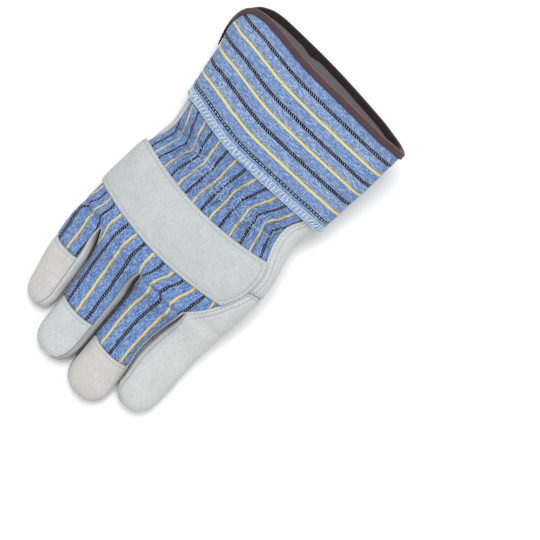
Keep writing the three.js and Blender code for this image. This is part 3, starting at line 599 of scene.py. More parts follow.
def shellOf(skin, chosen, lift, wall, draw=seamGap):
    # a closed wall over the chosen faces; lift is its outer height above each of their points
    used, local = np.unique(skin["faces"][chosen], return_inverse=True)
    faces = local.reshape(-1, 4)
    points, normals = skin["points"][used], skin["normals"][used]
    starts, ends = (np.searchsorted(used, e) for e in edgesOf(skin, chosen))
    inward = np.zeros_like(points)
    along = unit(points[ends] - points[starts])
    for corner in (starts, ends):
        np.add.at(inward, corner, np.cross(normals[corner], along))
    outer = points + normals * lift[:, None] + unit(inward) * draw
    n = len(points)
    sides = np.stack([ends, starts, starts + n, ends + n], axis=1)
    shell = np.concatenate([outer, outer - normals * wall])
    return shell, np.concatenate([faces, faces[:, ::-1] + n, sides])


def seamDip(distance, width, depth):
    # a wall's edge rolls down into its seam
    return -depth * (1 - np.sqrt(1 - np.clip(1 - distance / width, 0, 1) ** 2))


made = {}


def newPiece(node, name, shell, material, fields=None):
    # fields hold one value or vector for each point, the same on both sides of a wall
    points, faces = shell
    mesh = bpy.data.meshes.new(name)
    mesh.from_pydata(placed(points), [], faces.tolist())
    mesh.shade_smooth()
    for field, values in (fields or {}).items():
        values = np.concatenate([values] * (len(points) // len(values)))
        kind, key = ("FLOAT_VECTOR", "vector") if values.ndim == 2 else ("FLOAT", "value")
        attribute = mesh.attributes.new(field, kind, "POINT")
        attribute.data.foreach_set(key, values.astype(np.float32).ravel())
    mesh.materials.append(material)
    made[node] = link(bpy.data.objects.new(name, mesh))
    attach(made[node], "root")
    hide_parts(node)


print("cages: smoothing the hand and the thumb")
hand = smoothed(handCage())
thumbSkin = smoothed(thumbCage())


def addNode(tree, kind, inputs=(), **settings):
    # inputs go by name, by number or in order, and a node stands for its own result;
    # a kind that doesn't name its family is a shader node
    node = tree.nodes.new(kind if "Node" in kind else "ShaderNode" + kind)
    for name, value in settings.items():
        setattr(node, name, value)
    for socket, value in inputs.items() if isinstance(inputs, dict) else enumerate(inputs):
        if isinstance(value, bpy.types.Node):
            value = next(result for result in value.outputs if result.enabled)
        if isinstance(value, bpy.types.NodeSocket):
            tree.links.new(value, node.inputs[socket])
        else:
            node.inputs[socket].default_value = value
    return node


def linearColour(code):
    parts = [int(code[i:i + 2], 16) / 255 for i in (1, 3, 5)]
    return (*[c / 12.92 if c <= 0.04045 else ((c + 0.055) / 1.055) ** 2.4 for c in parts], 1.0)


def newMaterial(name):
    material = bpy.data.materials.new(name)
    material.use_nodes = True
    material.node_tree.nodes.clear()
    return material, partial(addNode, material.node_tree)


def dress(add, colour, height, bumpMm, finish):
    # the surface shader; finish holds its settings by name
    bump = add("Bump", {"Height": height, "Distance": bumpMm * mm, "Strength": 1.0})
    surface = add("BsdfPrincipled", {"Base Color": colour, "Normal": bump, **finish})
    add("OutputMaterial", {"Surface": surface})


smooth = {"interpolation_type": "SMOOTHSTEP"}

# Split leather: the fuzzy inner layer of a hide, chrome tanned to a pale blue grey.
# The short nap kills all gloss and catches a faint sheen at grazing angles; its
# fibres are finer than 0.1 mm and are drawn at 0.6 mm to show.
leatherLook = {
    "napMm": 1.3, "fibreMm": 0.6, "mottleMm": 12.0, "mottleShare": 0.3, "fibreShare": 0.6,
    "noiseRange": (0.39, 0.61), "darker": 0.9, "lighter": 1.08, "seamTint": "#7f8a8b", "tintShare": 0.4,
    "tintMm": 0.9, "deepShade": 0.05, "bumpMm": 0.25,
    "finish": {"Roughness": 0.95, "Sheen Weight": 0.15, "Sheen Roughness": 0.6, "IOR": 1.4,
               "Specular IOR Level": 0.2},
}


def splitLeather(name, code):
    look = leatherLook
    material, add = newMaterial(name)
    place = add("TexCoord").outputs["Object"]
    nap, fibre, mottle = [
        add("TexNoise", {"Vector": place, "Scale": 1 / (look[size] * mm), "Detail": 3.0, "Roughness": 0.6})
        for size in ("napMm", "fibreMm", "mottleMm")
    ]
    blend = add("Mix", {0: look["mottleShare"], 2: nap, 3: mottle}, data_type="FLOAT")
    shade = add("MapRange", [blend, *look["noiseRange"], look["darker"], look["lighter"]])
    toned = add("VectorMath", {0: linearColour(code)[:3], "Scale": shade}, operation="SCALE")
    seam = add("Attribute", attribute_name="seam").outputs["Fac"]
    share = add("Math", [seam, look["tintShare"]], operation="MULTIPLY")
    tint = linearColour(look["seamTint"])
    tinted = add("Mix", {0: share, 6: toned, 7: tint}, data_type="RGBA")
    # painted shade: the deep attribute darkens the colour, down to deepShade, where fingers wall a gusset
    # in
    deep = add("Attribute", attribute_name="deep").outputs["Fac"]
    left = add("MapRange", {0: deep, 3: 1.0, 4: look["deepShade"]})
    dimmed = add("VectorMath", {0: tinted, "Scale": left}, operation="SCALE")
    height = add("Math", [fibre, look["fibreShare"], nap], operation="MULTIPLY_ADD")
    dress(add, dimmed, height, look["bumpMm"], look["finish"])
    return material


# Striped cotton: blue slub yarn, with a yellow line and a black chain-twisted cord woven in
# by turns. From each black cord to the next yellow line the weft shows as pale dots.
# The yarns are matt; real ones are 0.4 mm apart, drawn at 1.05 by 1.45 mm to show.
# Pairs in mm are sizes across and along the stripes; other pairs run from none to full.
clothLook = {
    "slubMm": (0.6, 4.0), "weftMm": (1.2, 0.55), "cloudMm": (9.0, 14.0), "creaseMm": (1.8, 15.0),
    "dotMm": (1.05, 1.45), "blackMm": 2.05, "yellowMm": 1.45, "softMm": 0.12, "waverMm": 0.12,
    "raggedMm": 0.5, "pinch": 0.7, "pinched": (0.5, 0.64), "black": "#0e0e14",
    "twistPale": "#d8cabb", "twistMm": 1.75, "twistPart": (0.5, 0.95), "twistCore": (0.55, 0.3),
    "worn": (0.42, 0.6), "wornLeast": 0.35,
    "dotUneven": 0.45, "dotEdge": (0.48, 0.2), "dotStain": 0.4, "weftShare": 0.3, "dark": 0.3, "pale": 0.7,
    "bandEdge": (0.4, -0.4), "haze": 0.12, "hazeTint": "#868da0",
    "fleck": "#bccadf", "fleckInBand": 0.3, "fleckInSlub": 0.8, "fleckPart": (1.05, 1.75), "fleckMost": 0.8,
    "cover": "#a9bac8", "coverShare": 0.3,
    "creaseLine": (0.03, 0.0), "creaseShade": 0.36, "creaseBump": 2.6, "cordBump": 0.6, "bumpMm": 0.3,
    "finish": {"Roughness": 0.9, "Sheen Weight": 0.12, "Sheen Roughness": 0.5, "IOR": 1.45,
               "Specular IOR Level": 0.2},
}


def stripedCloth(name, dyes):
    # blues are the dark, middle and pale threads; flecked and specks are amounts, up to 1
    look = clothLook
    material, add = newMaterial(name)
    weave = add("Attribute", attribute_name="weave").outputs["Vector"]
    pleat = add("Attribute", attribute_name="pleat").outputs["Fac"]
    noises = []
    for wide, long in (look["slubMm"], look["weftMm"], look["cloudMm"], look["creaseMm"]):
        sized = add("Mapping", {"Vector": weave, "Scale": (1 / wide, 1 / long, 1)})
        noises.append(add("TexNoise", {"Vector": sized, "Scale": 1.0, "Detail": 2.0}))
    slub, weft, cloud, gathers = noises
    parts = add("SeparateXYZ", [weave]).outputs
    centred = add("Math", [cloud, 0.5], operation="SUBTRACT")
    across = add("Math", [centred, 2 * look["waverMm"], parts[0]], operation="MULTIPLY_ADD")
    signed = add("Math", [across, stripePitch, -stripePitch], operation="WRAP")
    fromBlack = add("Math", [signed], operation="ABSOLUTE")
    fromYellow = add("Math", [stripePitch, fromBlack], operation="SUBTRACT")
    # pleats hide a part of a line, so that it looks narrower here and there
    hidden = add("MapRange", [cloud, *look["pinched"], 0.0, look["pinch"]], **smooth)
    narrow = add("Math", [hidden, pleat, 1.0], operation="MULTIPLY_ADD")
    ragged = add("Math", [weft, look["raggedMm"], -look["raggedMm"] / 2], operation="MULTIPLY_ADD")
    lines = {}
    for stripe, distance in (("black", fromBlack), ("yellow", fromYellow)):
        rough = add("Math", [distance, narrow, ragged], operation="MULTIPLY_ADD")
        half, soft = look[stripe + "Mm"] / 2, look["softMm"]
        lines[stripe] = add("MapRange", [rough, half + soft, half - soft, 0.0, 1.0], **smooth)
    # the black cord's twist shows as slanting pale specks along its middle
    turns = add("Math", [signed, parts[1]], operation="ADD")
    phase = add("Math", [turns, 2 * math.pi / look["twistMm"]], operation="MULTIPLY")
    twist = add("Math", [phase], operation="SINE")
    speck = add("MapRange", [twist, *look["twistPart"], 0.0, dyes["specks"]], **smooth)
    worn = add("MapRange", [slub, *look["worn"], look["wornLeast"], 1.0])
    speck = add("Math", [speck, worn], operation="MULTIPLY")
    core = add("MapRange", [fromBlack, *look["twistCore"], 0.0, 1.0], **smooth)
    speckled = add("Math", [speck, core], operation="MULTIPLY")
    ends = {6: linearColour(look["black"]), 7: linearColour(look["twistPale"])}
    cord = add("Mix", {0: speckled, **ends}, data_type="RGBA")
    # the plain weave's dots, each with a chance of its own
    wide, long = look["dotMm"]
    grid = add("Mapping", {"Vector": weave, "Scale": (1 / wide, 1 / long, 1)})
    dots = add("TexVoronoi", {"Vector": grid, "Scale": 1.0, "Randomness": look["dotUneven"]},
               voronoi_dimensions="2D").outputs
    chance = add("SeparateColor", [dots["Color"]]).outputs
    spot = add("MapRange", [dots["Distance"], *look["dotEdge"], 0.0, 1.0], **smooth)
    uneven = add("Math", [chance[1], 0.5], operation="SUBTRACT")
    stain = add("Math", [uneven, spot], operation="MULTIPLY")
    yarns = add("Mix", {0: look["weftShare"], 2: slub, 3: weft}, data_type="FLOAT")
    threads = add("Math", [stain, look["dotStain"], yarns], operation="MULTIPLY_ADD")
    ground = add("ValToRGB", [threads])
    dark, medium, light = [linearColour(code) for code in dyes["blues"]]
    ramp = ground.color_ramp.elements
    ramp[0].position, ramp[1].position = look["dark"], look["pale"]
    ramp[0].color, ramp[1].color = dark, light
    ramp.new(0.5).color = medium
    # more of the dots are pale in the band before each black cord, which looks hazy
    band = add("MapRange", [signed, *look["bandEdge"], 0.0, dyes["flecked"]], **smooth)
    haze = add("Math", [band, look["haze"]], operation="MULTIPLY")
    level = add("Math", [band, look["fleckInBand"], chance[0]], operation="MULTIPLY_ADD")
    level = add("Math", [slub, look["fleckInSlub"], level], operation="MULTIPLY_ADD")
    bright = add("MapRange", [level, *look["fleckPart"], 0.0, look["fleckMost"]])
    fleck = add("Math", [bright, spot], operation="MULTIPLY")
    # the overlock's loops cover the cuff's lower edge
    covered = add("Attribute", attribute_name="overlocked").outputs["Fac"]
    covers = add("Math", [covered, look["coverShare"]], operation="MULTIPLY")
    colour = ground
    for share, over in ((haze, look["hazeTint"]), (fleck, look["fleck"]), (lines["yellow"], dyes["yellow"]),
                        (lines["black"], cord), (covers, look["cover"])):
        over = linearColour(over) if isinstance(over, str) else over
        colour = add("Mix", {0: share, 6: colour, 7: over}, data_type="RGBA")
    # thin creases along the yarns, where the cloth is gathered: a bump, and painted shade that darkens the
    # colour along them
    middle = add("Math", [gathers, 0.5], operation="SUBTRACT")
    apart = add("Math", [middle], operation="ABSOLUTE")
    line = add("MapRange", [apart, *look["creaseLine"], 0.0, 1.0], **smooth)
    crease = add("Math", [line, pleat], operation="MULTIPLY")
    lit = add("Math", [crease, -look["creaseShade"], 1.0], operation="MULTIPLY_ADD")
    toned = add("VectorMath", {0: colour, "Scale": lit}, operation="SCALE")
    raised = add("Math", [lines["black"], look["cordBump"], threads], operation="MULTIPLY_ADD")
    raised = add("Math", [crease, -look["creaseBump"], raised], operation="MULTIPLY_ADD")
    dress(add, toned, raised, look["bumpMm"], look["finish"])
    return material


leatherColours = {"Pale": "#babcbc", "Cool": "#b6babc", "Warm": "#b8b7b4", "Strap": "#aeb2b2"}
leathers = {name: splitLeather("splitLeather" + name, code) for name, code in leatherColours.items()}
clothDyes = {
    "Back": {"blues": ["#375285", "#5c7aac", "#8ca6cb"], "yellow": "#dabb4c",
             "flecked": 0.3, "specks": 0.85},
    "Cuff": {"blues": ["#476396", "#6580aa", "#8ea1be"], "yellow": "#d8c35e",
             "flecked": 1.0, "specks": 0.95},
}
clothes = {name: stripedCloth("stripedCotton" + name, dyes) for name, dyes in clothDyes.items()}

print("pieces: the hand")
# Two rows of elastic gather the wrist into pleats; the sizes are in mm
shirring = {"y": 22.0, "reach": 12.0, "shown": 9.0, "rows": (19.6, 24.2), "pitch": 5.6, "lift": 1.15,
            "sharp": 0.8, "steady": 0.75, "faint": 0.15, "sides": 1.6, "pinch": 0.5, "wide": 1.0,
            "leftX": -38, "rightX": 42, "points": 90, "tieStep": 1.4, "ties": (-1, 1, 2, 4.6),
            "stripeReach": 14.0, "stripeSway": 0.4}
sideRises = ((3.8, -8, -30), (1.2, 18, 20))  # how far, from which x and over what width
# The folds' crests have a height, a place and a width; the folds run aslant, in shallow waves
foldShape = {"crests": ((1.0, -3.6, 3.0), (-1.2, 1.2, 1.7), (0.7, 6.0, 2.6)), "slant": 0.1, "sway": 1.1,
             "turning": 0.33}
backFolds = [
    {"x": -50, "half": 12, "y": -48.0, "lift": 1.7},
    {"x": -15, "half": 19, "y": -50.0, "lift": 0.9},
    {"x": 20, "half": 19, "y": -52.5, "lift": 2.0},
]
strapHold = 4.0  # the strap keeps the cloth flat to this far beyond its edges
fieldStart = 5.0  # relief is full at this distance from a seam


def rowRise(x):
    # the rows of elastic run nearer to the cuff at both sides
    return sum(rise * ease((x - start) / width) for rise, start, width in sideRises)


def backLift(p, normals):
    # pleats of the gathered wrist, and the folds that cross the roots of the fingers
    x, y, columns = p[:, 0], p[:, 1], p[:, :1]
    wander = relief(columns, (1.4, 22, 3)) + relief(p[:, :2], (0.9, 17, 6))
    ridge = 1 - 2 * np.abs(np.sin(math.pi * x / shirring["pitch"] + wander / 2)) ** shirring["sharp"]
    rise = rowRise(x)
    near = hump(y - rise - shirring["y"] - relief(columns, (1.5, 12, 7)), shirring["reach"])
    lift = shirring["lift"] * near * ridge * (shirring["steady"] + relief(columns, (0.4, 15, 4)))
    for row in shirring["rows"]:
        lift -= shirring["pinch"] * hump(y - rise - row, shirring["wide"])
    for fold in backFolds:
        side = np.clip(1 - (np.abs(x - fold["x"]) / fold["half"]) ** 4, 0, 1)
        aslant = foldShape["slant"] * (x - fold["x"]) + foldShape["sway"] * np.sin(x * foldShape["turning"])
        at = y - fold["y"] + aslant
        crests = sum(height * hump(at + place, width) for height, place, width in foldShape["crests"])
        lift += fold["lift"] * side * crests
    lift += relief(p, (0.16, 15, 5), (0.05, 6, 8))
    held = within(y, strap["start"] - strapHold, strap["end"] + strapHold, strapHold)
    return lift * np.clip(normals[:, 2] * shirring["sides"], 0, 1) * (1 - held)


def pleated(p):
    # where fine pleats show: at the shirring, and fainter towards the strap and the cuff
    near = hump(p[:, 1] - rowRise(p[:, 0]) - shirring["y"] - relief(p[:, :1], (2, 9, 9)), shirring["shown"])
    faint = shirring["faint"]
    shown = np.clip(faint + (1 - faint) * near + relief(p[:, :2], (0.15, 10, 11)), 0, 1)
    return shown * (p[:, 1] > strap["end"] - 3)


def leatherLift(p, seed):
    return relief(p, (0.16, 21, seed), (0.07, 7, seed + 1))


# Where the camera sees every other stripe, from the wrist to the fingertips
blackLines = {
    "y": [48, 38, 30, 23.5, 21, 18.5, 12, 3, -33, -41, -46, -50, -54, -57, -59.5, -62, -66, -75, -90, -106],
    -8: [-58.5, -56.2, -52.2, -49, -48, -48.5, -50.3, -52, -52, -52, -53.3, -55, -56.2, -56, -55.7, -55.3,
         -54.5, -53, -50, -48],
    -6: [-49, -45.5, -42, -39.2, -38.3, -38.9, -41.2, -44, -43.5, -43, -43.4, -43.2, -41, -39.5, -38.8,
         -38.5, -38, -37.5, -36, -34],
    -4: [-33, -32, -30.2, -28.6, -28, -28.2, -29.3, -30.5, -28, -27.8, -28.6, -29, -28.8, -28.4, -28.1,
         -27.8, -27.3, -26, -23, -20],
    -2: [-17.5, -16.5, -15.8, -15.2, -15, -15.1, -15.7, -16.5, -12.5, -12, -12.2, -12.5, -12.3, -11.6, -11,
         -10.5, -9.8, -8, -5.8, -3.5],
    -1: [-8.8, -8.3, -8.3, -8.3, -8.3, -8.4, -8.9, -9.5, -4.2, -3.5, -3.5, -3.5, -2.5, -1.2, -0.3, 0.2,
         0.2, 0.5, 1.6, 5],
    0: [0, 0, -0.8, -1.3, -1.5, -1.6, -2, -2.5, 4, 5, 4.9, 4.4, 2.8, 1.2, 1, 1.4, 2, 3, 4, 6.5],
    1: [9.5, 9, 7.4, 5.8, 5.2, 5.3, 5.3, 5.2, 12.5, 13.5, 12.8, 11, 9.4, 8.6, 9.5, 11, 10.8, 10, 11, 13.5],
    2: [19, 18, 15.6, 12.9, 12, 12.2, 12.6, 13, 21, 22, 20.2, 18, 17.2, 17, 19.3, 20.5, 19.9, 19.2, 19.5,
        21.3],
    4: [36, 34, 30.8, 27, 26, 26.4, 28, 30, 37, 38, 37.4, 36.6, 36, 35.4, 35.8, 36.2, 36.3, 36.5, 37, 38],
    6: [51, 48, 44.4, 40.6, 39.5, 40.1, 42.5, 45.5, 52, 53.5, 53.5, 53.5, 54, 54, 54, 54, 54, 54, 54, 54],
}
leftSide = -40.0  # from here the cloth turns down the little finger's side


def stripePlaces(p):
    # where each point lies across and along the striped cloth, in mm
    seenX, seenY = seenFromAbove(bent(p))
    gathered = shirring["stripeSway"] * hump(p[:, 1] - shirring["y"], shirring["stripeReach"])
    seenX = seenX + relief(p[:, :2], (0.15, 16, 51)) + gathered * waves(p[:, :2] * (1.3, 1), 20, 52)
    numbers = np.array(sorted(n for n in blackLines if n != "y"))
    lines = np.array([readTable(blackLines, seenY, n) for n in numbers])
    across = np.array([np.interp(x, line, numbers) for x, line in zip(seenX, lines.T)])
    for first, beside, beyond in ((0, 1, seenX < lines[0]), (-1, -2, seenX > lines[-1])):
        gap = (lines[first] - lines[beside]) / (numbers[first] - numbers[beside])
        across = np.where(beyond, numbers[first] + (seenX - lines[first]) / gap, across)
    edge = np.where(p[:, 1] > rootY, readTable(handSections, p[:, 1], "leftZ"),
                    readTable(fingers[0], p[:, 1], "thick") / 2)
    down = np.where(seenX < leftSide, np.maximum(0, edge - p[:, 2]), 0)
    return np.stack([across * stripePitch - down, p[:, 1], np.zeros(len(p))], axis=1)


def surfaceOf(piece):
    return BVHTree.FromObject(piece, bpy.context.evaluated_depsgraph_get())


def laidOn(surface, path):
    # a path brought onto a surface, with the surface's own directions
    hits = [surface.find_nearest(p) for p in path]
    return np.array([h[0] for h in hits]), np.array([h[1] for h in hits])


sewnRows = []  # loose paths of stitches, as (points, upward directions)
rowRules = {"fewest": 6, "clear": 0.98, "rounds": 3, "evening": 3, "eveningPerMm": 1.5}
groove = {"deep": 0.34, "wide": 0.75}


def stitchedRows(piece, skin, chosen, beside, inset, height=0.0):
    # the paths that follow a seam with the named pieces, a little inside the chosen ones
    surface = surfaceOf(piece)
    rows = []
    for run in chains(*edgesOf(skin, chosen, beside)):
        if len(run) < rowRules["fewest"]:
            continue
        points, normals = evened(skin["points"][run], rowRules["evening"]), skin["normals"][run]
        wanted = points + np.cross(normals, unit(np.gradient(points, axis=0))) * inset
        clear = distanceTo(wanted, points[:-1], points[1:]) > rowRules["clear"] * inset
        path = placed(wanted + normals * height)[clear]
        for _ in range(rowRules["rounds"]):
            path, ups = laidOn(surface, evened(path, round(rowRules["eveningPerMm"] * inset)))
        rows.append((path, ups))
    return rows


def grooved(skin, chosen, rows):
    # how deep the rows of stitches pull into each point
    lift = 0
    for beside, insets in rows:
        distance = edgeDistance(skin, chosen, beside)
        for inset in insets:
            lift = lift - groove["deep"] * hump(distance - inset, groove["wide"])
    return lift


# rays that measure how walled in each gusset point is, for the gusset's painted shade
crevice = {"rays": 14, "turn": 2.4, "lowest": -0.9, "highest": 0.95, "leastFacing": 0.15, "clear": 0.4,
           "reach": 22.0}


def deepness(skin, points, normals):
    # how far each point is walled in by the fingers beside it
    tree = BVHTree.FromPolygons(skin["points"].tolist(), skin["faces"].tolist())
    turns = np.arange(crevice["rays"]) * crevice["turn"]
    rises = np.linspace(crevice["lowest"], crevice["highest"], crevice["rays"])
    flat = np.sqrt(1 - rises**2)
    rays = np.stack([flat * np.cos(turns), flat * np.sin(turns), rises], axis=1)
    shut = []
    for p, n in zip(points, normals):
        total = hidden = 0
        for ray in rays[rays @ n > crevice["leastFacing"]]:
            distance = tree.ray_cast(p + crevice["clear"] * n, ray, crevice["reach"])[3]
            hidden += (ray @ n) * (1 - distance / crevice["reach"] if distance is not None else 0)
            total += ray @ n
        shut.append(hidden / total)
    return np.array(shut)


def leatherPiece(node, name, skin, chosen, lift, leather="Pale", **fields):
    newPiece(node, name, shellOf(skin, chosen, lift, walls["leather"]), leathers[leather], fields)


def nearSeam(distance):
    return np.clip(1 - distance / leatherLook["tintMm"], 0, 1)


leatherDip = {"width": 2.2, "depth": 0.65}
clothDip = {"width": 2.6, "depth": 1.0}
# Rows of stitches run beside the named pieces, at these distances in mm. A gusset gets painted
# shade from its first to its second share of being walled in, and never less than its third
handPieces = {
    "back_panel": {"name": "clothBack"},
    "palm": {"name": "leatherPalm",
             "rows": [(["back_panel"], (2.0, 5.0)), (["front_ring", "front_middle"], (1.6, 4.4)),
                      (["index_back"], (2.0,)), (["free"], (2.0,))]},
    "index_back": {"name": "leatherIndex", "rows": [(["back_panel"], (2.2, 5.6)), (["palm"], (2.0,))]},
    "front_ring": {"name": "leatherRingFront"},
    "front_middle": {"name": "leatherMiddleFront"},
    "tip_pinky": {"name": "leatherPinkyTip", "leather": "Warm", "rows": [(["back_panel"], (2.6,))]},
    "tip_ring": {"name": "leatherRingTip", "leather": "Cool", "rows": [(["back_panel"], (2.6,))]},
    "tip_middle": {"name": "leatherMiddleTip", "leather": "Warm", "rows": [(["back_panel"], (2.6,))]},
    "fourchette_pinky_ring": {"name": "leatherGussetPinkyRing", "paintedShade": (0.4, 0.85, 0.0)},
    "fourchette_ring_middle": {"name": "leatherGussetRingMiddle", "paintedShade": (0.42, 0.66, 0.36)},
    "fourchette_middle_index": {"name": "leatherGussetMiddleIndex", "paintedShade": (0.6, 0.75, 0.0)},
}
for seed, (node, facts) in enumerate(handPieces.items()):
    chosen = facesOf(hand, node)
    points, normals = usedPoints(hand, chosen)
    distance = edgeDistance(hand, chosen)
    inField = ease(distance / fieldStart)
    if node == "back_panel":
        lift = seamDip(distance, **clothDip) + backLift(points, normals) * inField
        fields = {"weave": stripePlaces(points), "pleat": pleated(points)}
        newPiece(node, facts["name"], shellOf(hand, chosen, lift, walls["cloth"]), clothes["Back"], fields)
        continue
    rows = facts.get("rows", [])
    lift = seamDip(distance, **leatherDip) + leatherLift(points, 10 + seed) * inField
    lift = lift + grooved(hand, chosen, rows)
    fields = {"seam": nearSeam(distance)}
    if "paintedShade" in facts:
        start, end, least = facts["paintedShade"]
        # painted shade: the gusset darkens where the fingers beside it wall it in
        fields["deep"] = mix(least, 1, ease((deepness(hand, points, normals) - start) / (end - start)))
    leatherPiece(node, facts["name"], hand, chosen, lift, facts.get("leather", "Pale"), **fields)
    for beside, insets in rows:
        for inset in insets:
            sewnRows += stitchedRows(made[node], hand, chosen, beside, inset)

strapLook = {"uneven": 0.14, "inset": 2.8, "dip": {"width": 1.2, "depth": 0.6}}
onTop = layerGap + walls["leather"]  # a leather piece's height over the one that it lies on
strapFaces = hand["strap"] == 1
distance = edgeDistance(hand, strapFaces)
uneven = strapLook["uneven"] * (waves(usedPoints(hand, strapFaces)[0], 24, 31) + 1)
lift = onTop + uneven + seamDip(distance, **strapLook["dip"])
lift = lift + grooved(hand, strapFaces, [(None, [strapLook["inset"]])])
leatherPiece("knuckle_strap", "leatherStrap", hand, strapFaces, lift, "Strap")
sewnRows += stitchedRows(made["knuckle_strap"], hand, strapFaces, None, strapLook["inset"], onTop)

print("pieces: the thumb")
thumbPieces = {"thumb_front": "leatherThumbFront", "thumb_back": "leatherThumbBack"}
thumbLook = {"sunk": 0.1, "uneven": 0.5, "inset": 1.8, "dip": {"width": 2.2, "depth": 0.8}}
for seed, (node, name) in enumerate(thumbPieces.items()):
    chosen = facesOf(thumbSkin, node)
    distance = edgeDistance(thumbSkin, chosen, list(thumbPieces))
    uneven = thumbLook["uneven"] * leatherLift(usedPoints(thumbSkin, chosen)[0], 35 + seed)
    lift = seamDip(distance, **thumbLook["dip"]) - thumbLook["sunk"] + uneven
    leatherPiece(node, name, thumbSkin, chosen, lift, seam=nearSeam(distance))
sewnRows += stitchedRows(made["thumb_front"], thumbSkin, facesOf(thumbSkin, "thumb_front"), ["thumb_back"],
                         thumbLook["inset"])

print("pieces: the cuff")
cuffSections = {
    "y": [47.6, 54.0, 85.0, 100.0, 124.7],
    "left": [-61.2, -62.3, -67.6, -71.5, -75.0],
    "right": [61.2, 61.5, 62.5, 63.0, 63.6],
    "leftZ": [15.6, 15.0, 12.5, 12.0, 11.5],
    "rightZ": [21.2, 21.6, 22.5, 23.0, 23.5],
    "top": [37.0, 37.1, 37.6, 37.8, 38.0],
    "bottom": [8.7, 8.0, 4.4, 3.0, 1.15],
}
cuffShape = {
    "across": 16, "leftAngles": [34, 24, 15, 7, 0, -7, -15, -24, -34], "rightAngles": [30, 15, 0, -15, -30],
    "fine": 6, "rows": 44, "hemRows": 7, "liningStart": 55.2, "end": 124.7,
    "notchStart": -45.0, "notchDeep": 34.0, "notchCurve": 3.0, "hemY": 55.5, "hemDeep": 0.4, "hemWide": 2.2,
}
# How far the mouth falls short of the cuff's end, on its palm side and on its back
rimDrops = {"x": [-75, -55, -48, -40, -15, 0, 30, 42, 50, 57, 64],
            "far": [0, -0.2, -0.5, -0.8, -1.3, -1.3, -0.5, -0.2, 0.6, 1.5, 2.4],
            "near": [3.2, 2.8, 2.4, 1.7, 1.5, 1.1, 1.2, 1.4, 1.7, 1.3, 0.6]}
# On the back, the cuff's rows climb towards its sides; the climb starts above lowZ
cuffRises = {"x": [-68, -64, -60, -50, -40, -30, -15, 0, 30, 50, 60, 66],
             "rise": [3.5, 3.4, 3.1, 3.4, 2.3, 0.9, -0.5, 0, 1.3, 1.7, 0.9, 0.6],
             "atMouth": 0.4, "lowZ": 9.5, "over": 6.0}
tapeReach = layerGap + walls["tape"]


def cuffRise(p):
    up = np.clip((p[:, 1] - cuffStartY) / (cuffShape["end"] - cuffStartY), 0, 1)
    onBack = ease((p[:, 2] - cuffRises["lowZ"]) / cuffRises["over"])
    return readTable(cuffRises, p[:, 0], "rise", "x") * mix(1, cuffRises["atMouth"], up) * onBack


def subdivided(values, steps):
    return np.interp(np.arange(0, (len(values) - 1) * steps) / steps, np.arange(len(values)), values)


def cuffColumns(steps):
    across = np.arange(cuffShape["across"] * steps) / (cuffShape["across"] * steps)
    right = subdivided(cuffShape["rightAngles"], steps)
    left = 180 - subdivided(cuffShape["leftAngles"][::-1], steps)
    return across, right, left


def cuffRing(y, steps):
    # a ring of points round the cuff, with a place along it for each column
    across, right, left = cuffColumns(steps)
    parts = np.split(y, np.cumsum([len(across), len(right), len(across)]))
    wide = []
    for upper, part, shares in ((True, parts[0], across), (False, parts[2], 1 - across)):
        start = atAngle(cuffSections, part, 180 - cuffShape["leftAngles"][0])[:, 0]
        end = atAngle(cuffSections, part, cuffShape["rightAngles"][0])[:, 0]
        x = mix(start, end, shares)
        wide.append(np.stack([x, part, surfaceZ(cuffSections, x, part, upper)], axis=1))
    sides = [atAngle(cuffSections, parts[1], right), atAngle(cuffSections, parts[3], left)]
    ring = np.concatenate([wide[0], sides[0], wide[1], sides[1]])
    ring[:, 1] += cuffRise(ring)
    return ring


def clothEnds():
    # where the cloth ends in each column: short on the back, notched on the left
    count = sum(len(c) for c in cuffColumns(1)) + cuffShape["across"]
    rim = cuffRing(np.full(count, cuffShape["end"]), 1)
    right, top = cuffSections["rightZ"][-1], cuffSections["top"][-1]
    raised = np.clip((rim[:, 2] - right) / (top - right), 0, 1)
    left, curve = cuffSections["left"][-1], cuffShape["notchCurve"]
    share = np.clip((cuffShape["notchStart"] - rim[:, 0]) / (cuffShape["notchStart"] - left), 0, 1)
    drop = cuffShape["notchDeep"] * (1 - (1 - share**curve) ** (1 / curve))
    drop += mix(*[readTable(rimDrops, rim[:, 0], side, "x") for side in ("far", "near")], raised)
    around = np.arange(-2, count + 3)
    coarse = {"column": around, "end": np.take(cuffShape["end"] - tapeReach - drop, around, mode="wrap")}
    return readTable(coarse, np.arange(count * cuffShape["fine"]) / cuffShape["fine"], "end", "column")


def gridFaces(rows, columns, joinRows, joinColumns):
    # quads between points in rows; joining closes the grid on itself
    here = np.arange(rows * columns).reshape(rows, columns)
    beside = np.roll(here, -1, axis=1)
    corners = np.stack([here, beside, np.roll(beside, -1, axis=0), np.roll(here, -1, axis=0)], axis=2)
    return corners[:None if joinRows else -1, :None if joinColumns else -1].reshape(-1, 4)


ends = clothEnds()
hem = [np.full(len(ends), mix(cuffStartY, cuffShape["liningStart"], i / cuffShape["hemRows"]))
       for i in range(cuffShape["hemRows"])]
body = [mix(cuffShape["liningStart"], ends, i / cuffShape["rows"]) for i in range(cuffShape["rows"] + 1)]
cuffRows = np.array([cuffRing(y, cuffShape["fine"]) for y in hem + body])
rowCount, columnCount = cuffRows.shape[:2]
cuffSkin = skinOf(cuffRows.reshape(-1, 3), gridFaces(rowCount, columnCount, False, True), {})
lined = np.repeat(np.arange(rowCount - 1) >= cuffShape["hemRows"], columnCount)

seenLines = [45.2, 54.0, 63.5, 72.5, 81.0, 90.5, 99.5]  # along the middle of the back
along = np.linspace(cuffStartY, cuffShape["end"], 200)
middle = np.stack([along * 0, along, surfaceZ(cuffSections, along * 0, along, True)], axis=1)
linesAt = np.interp(seenLines, seenFromAbove(bent(middle))[1], along)
cuffRound = {"middleZ": 22.0, "flat": 3.0, "along": 200.0}  # along: mm from one side's x to the other's


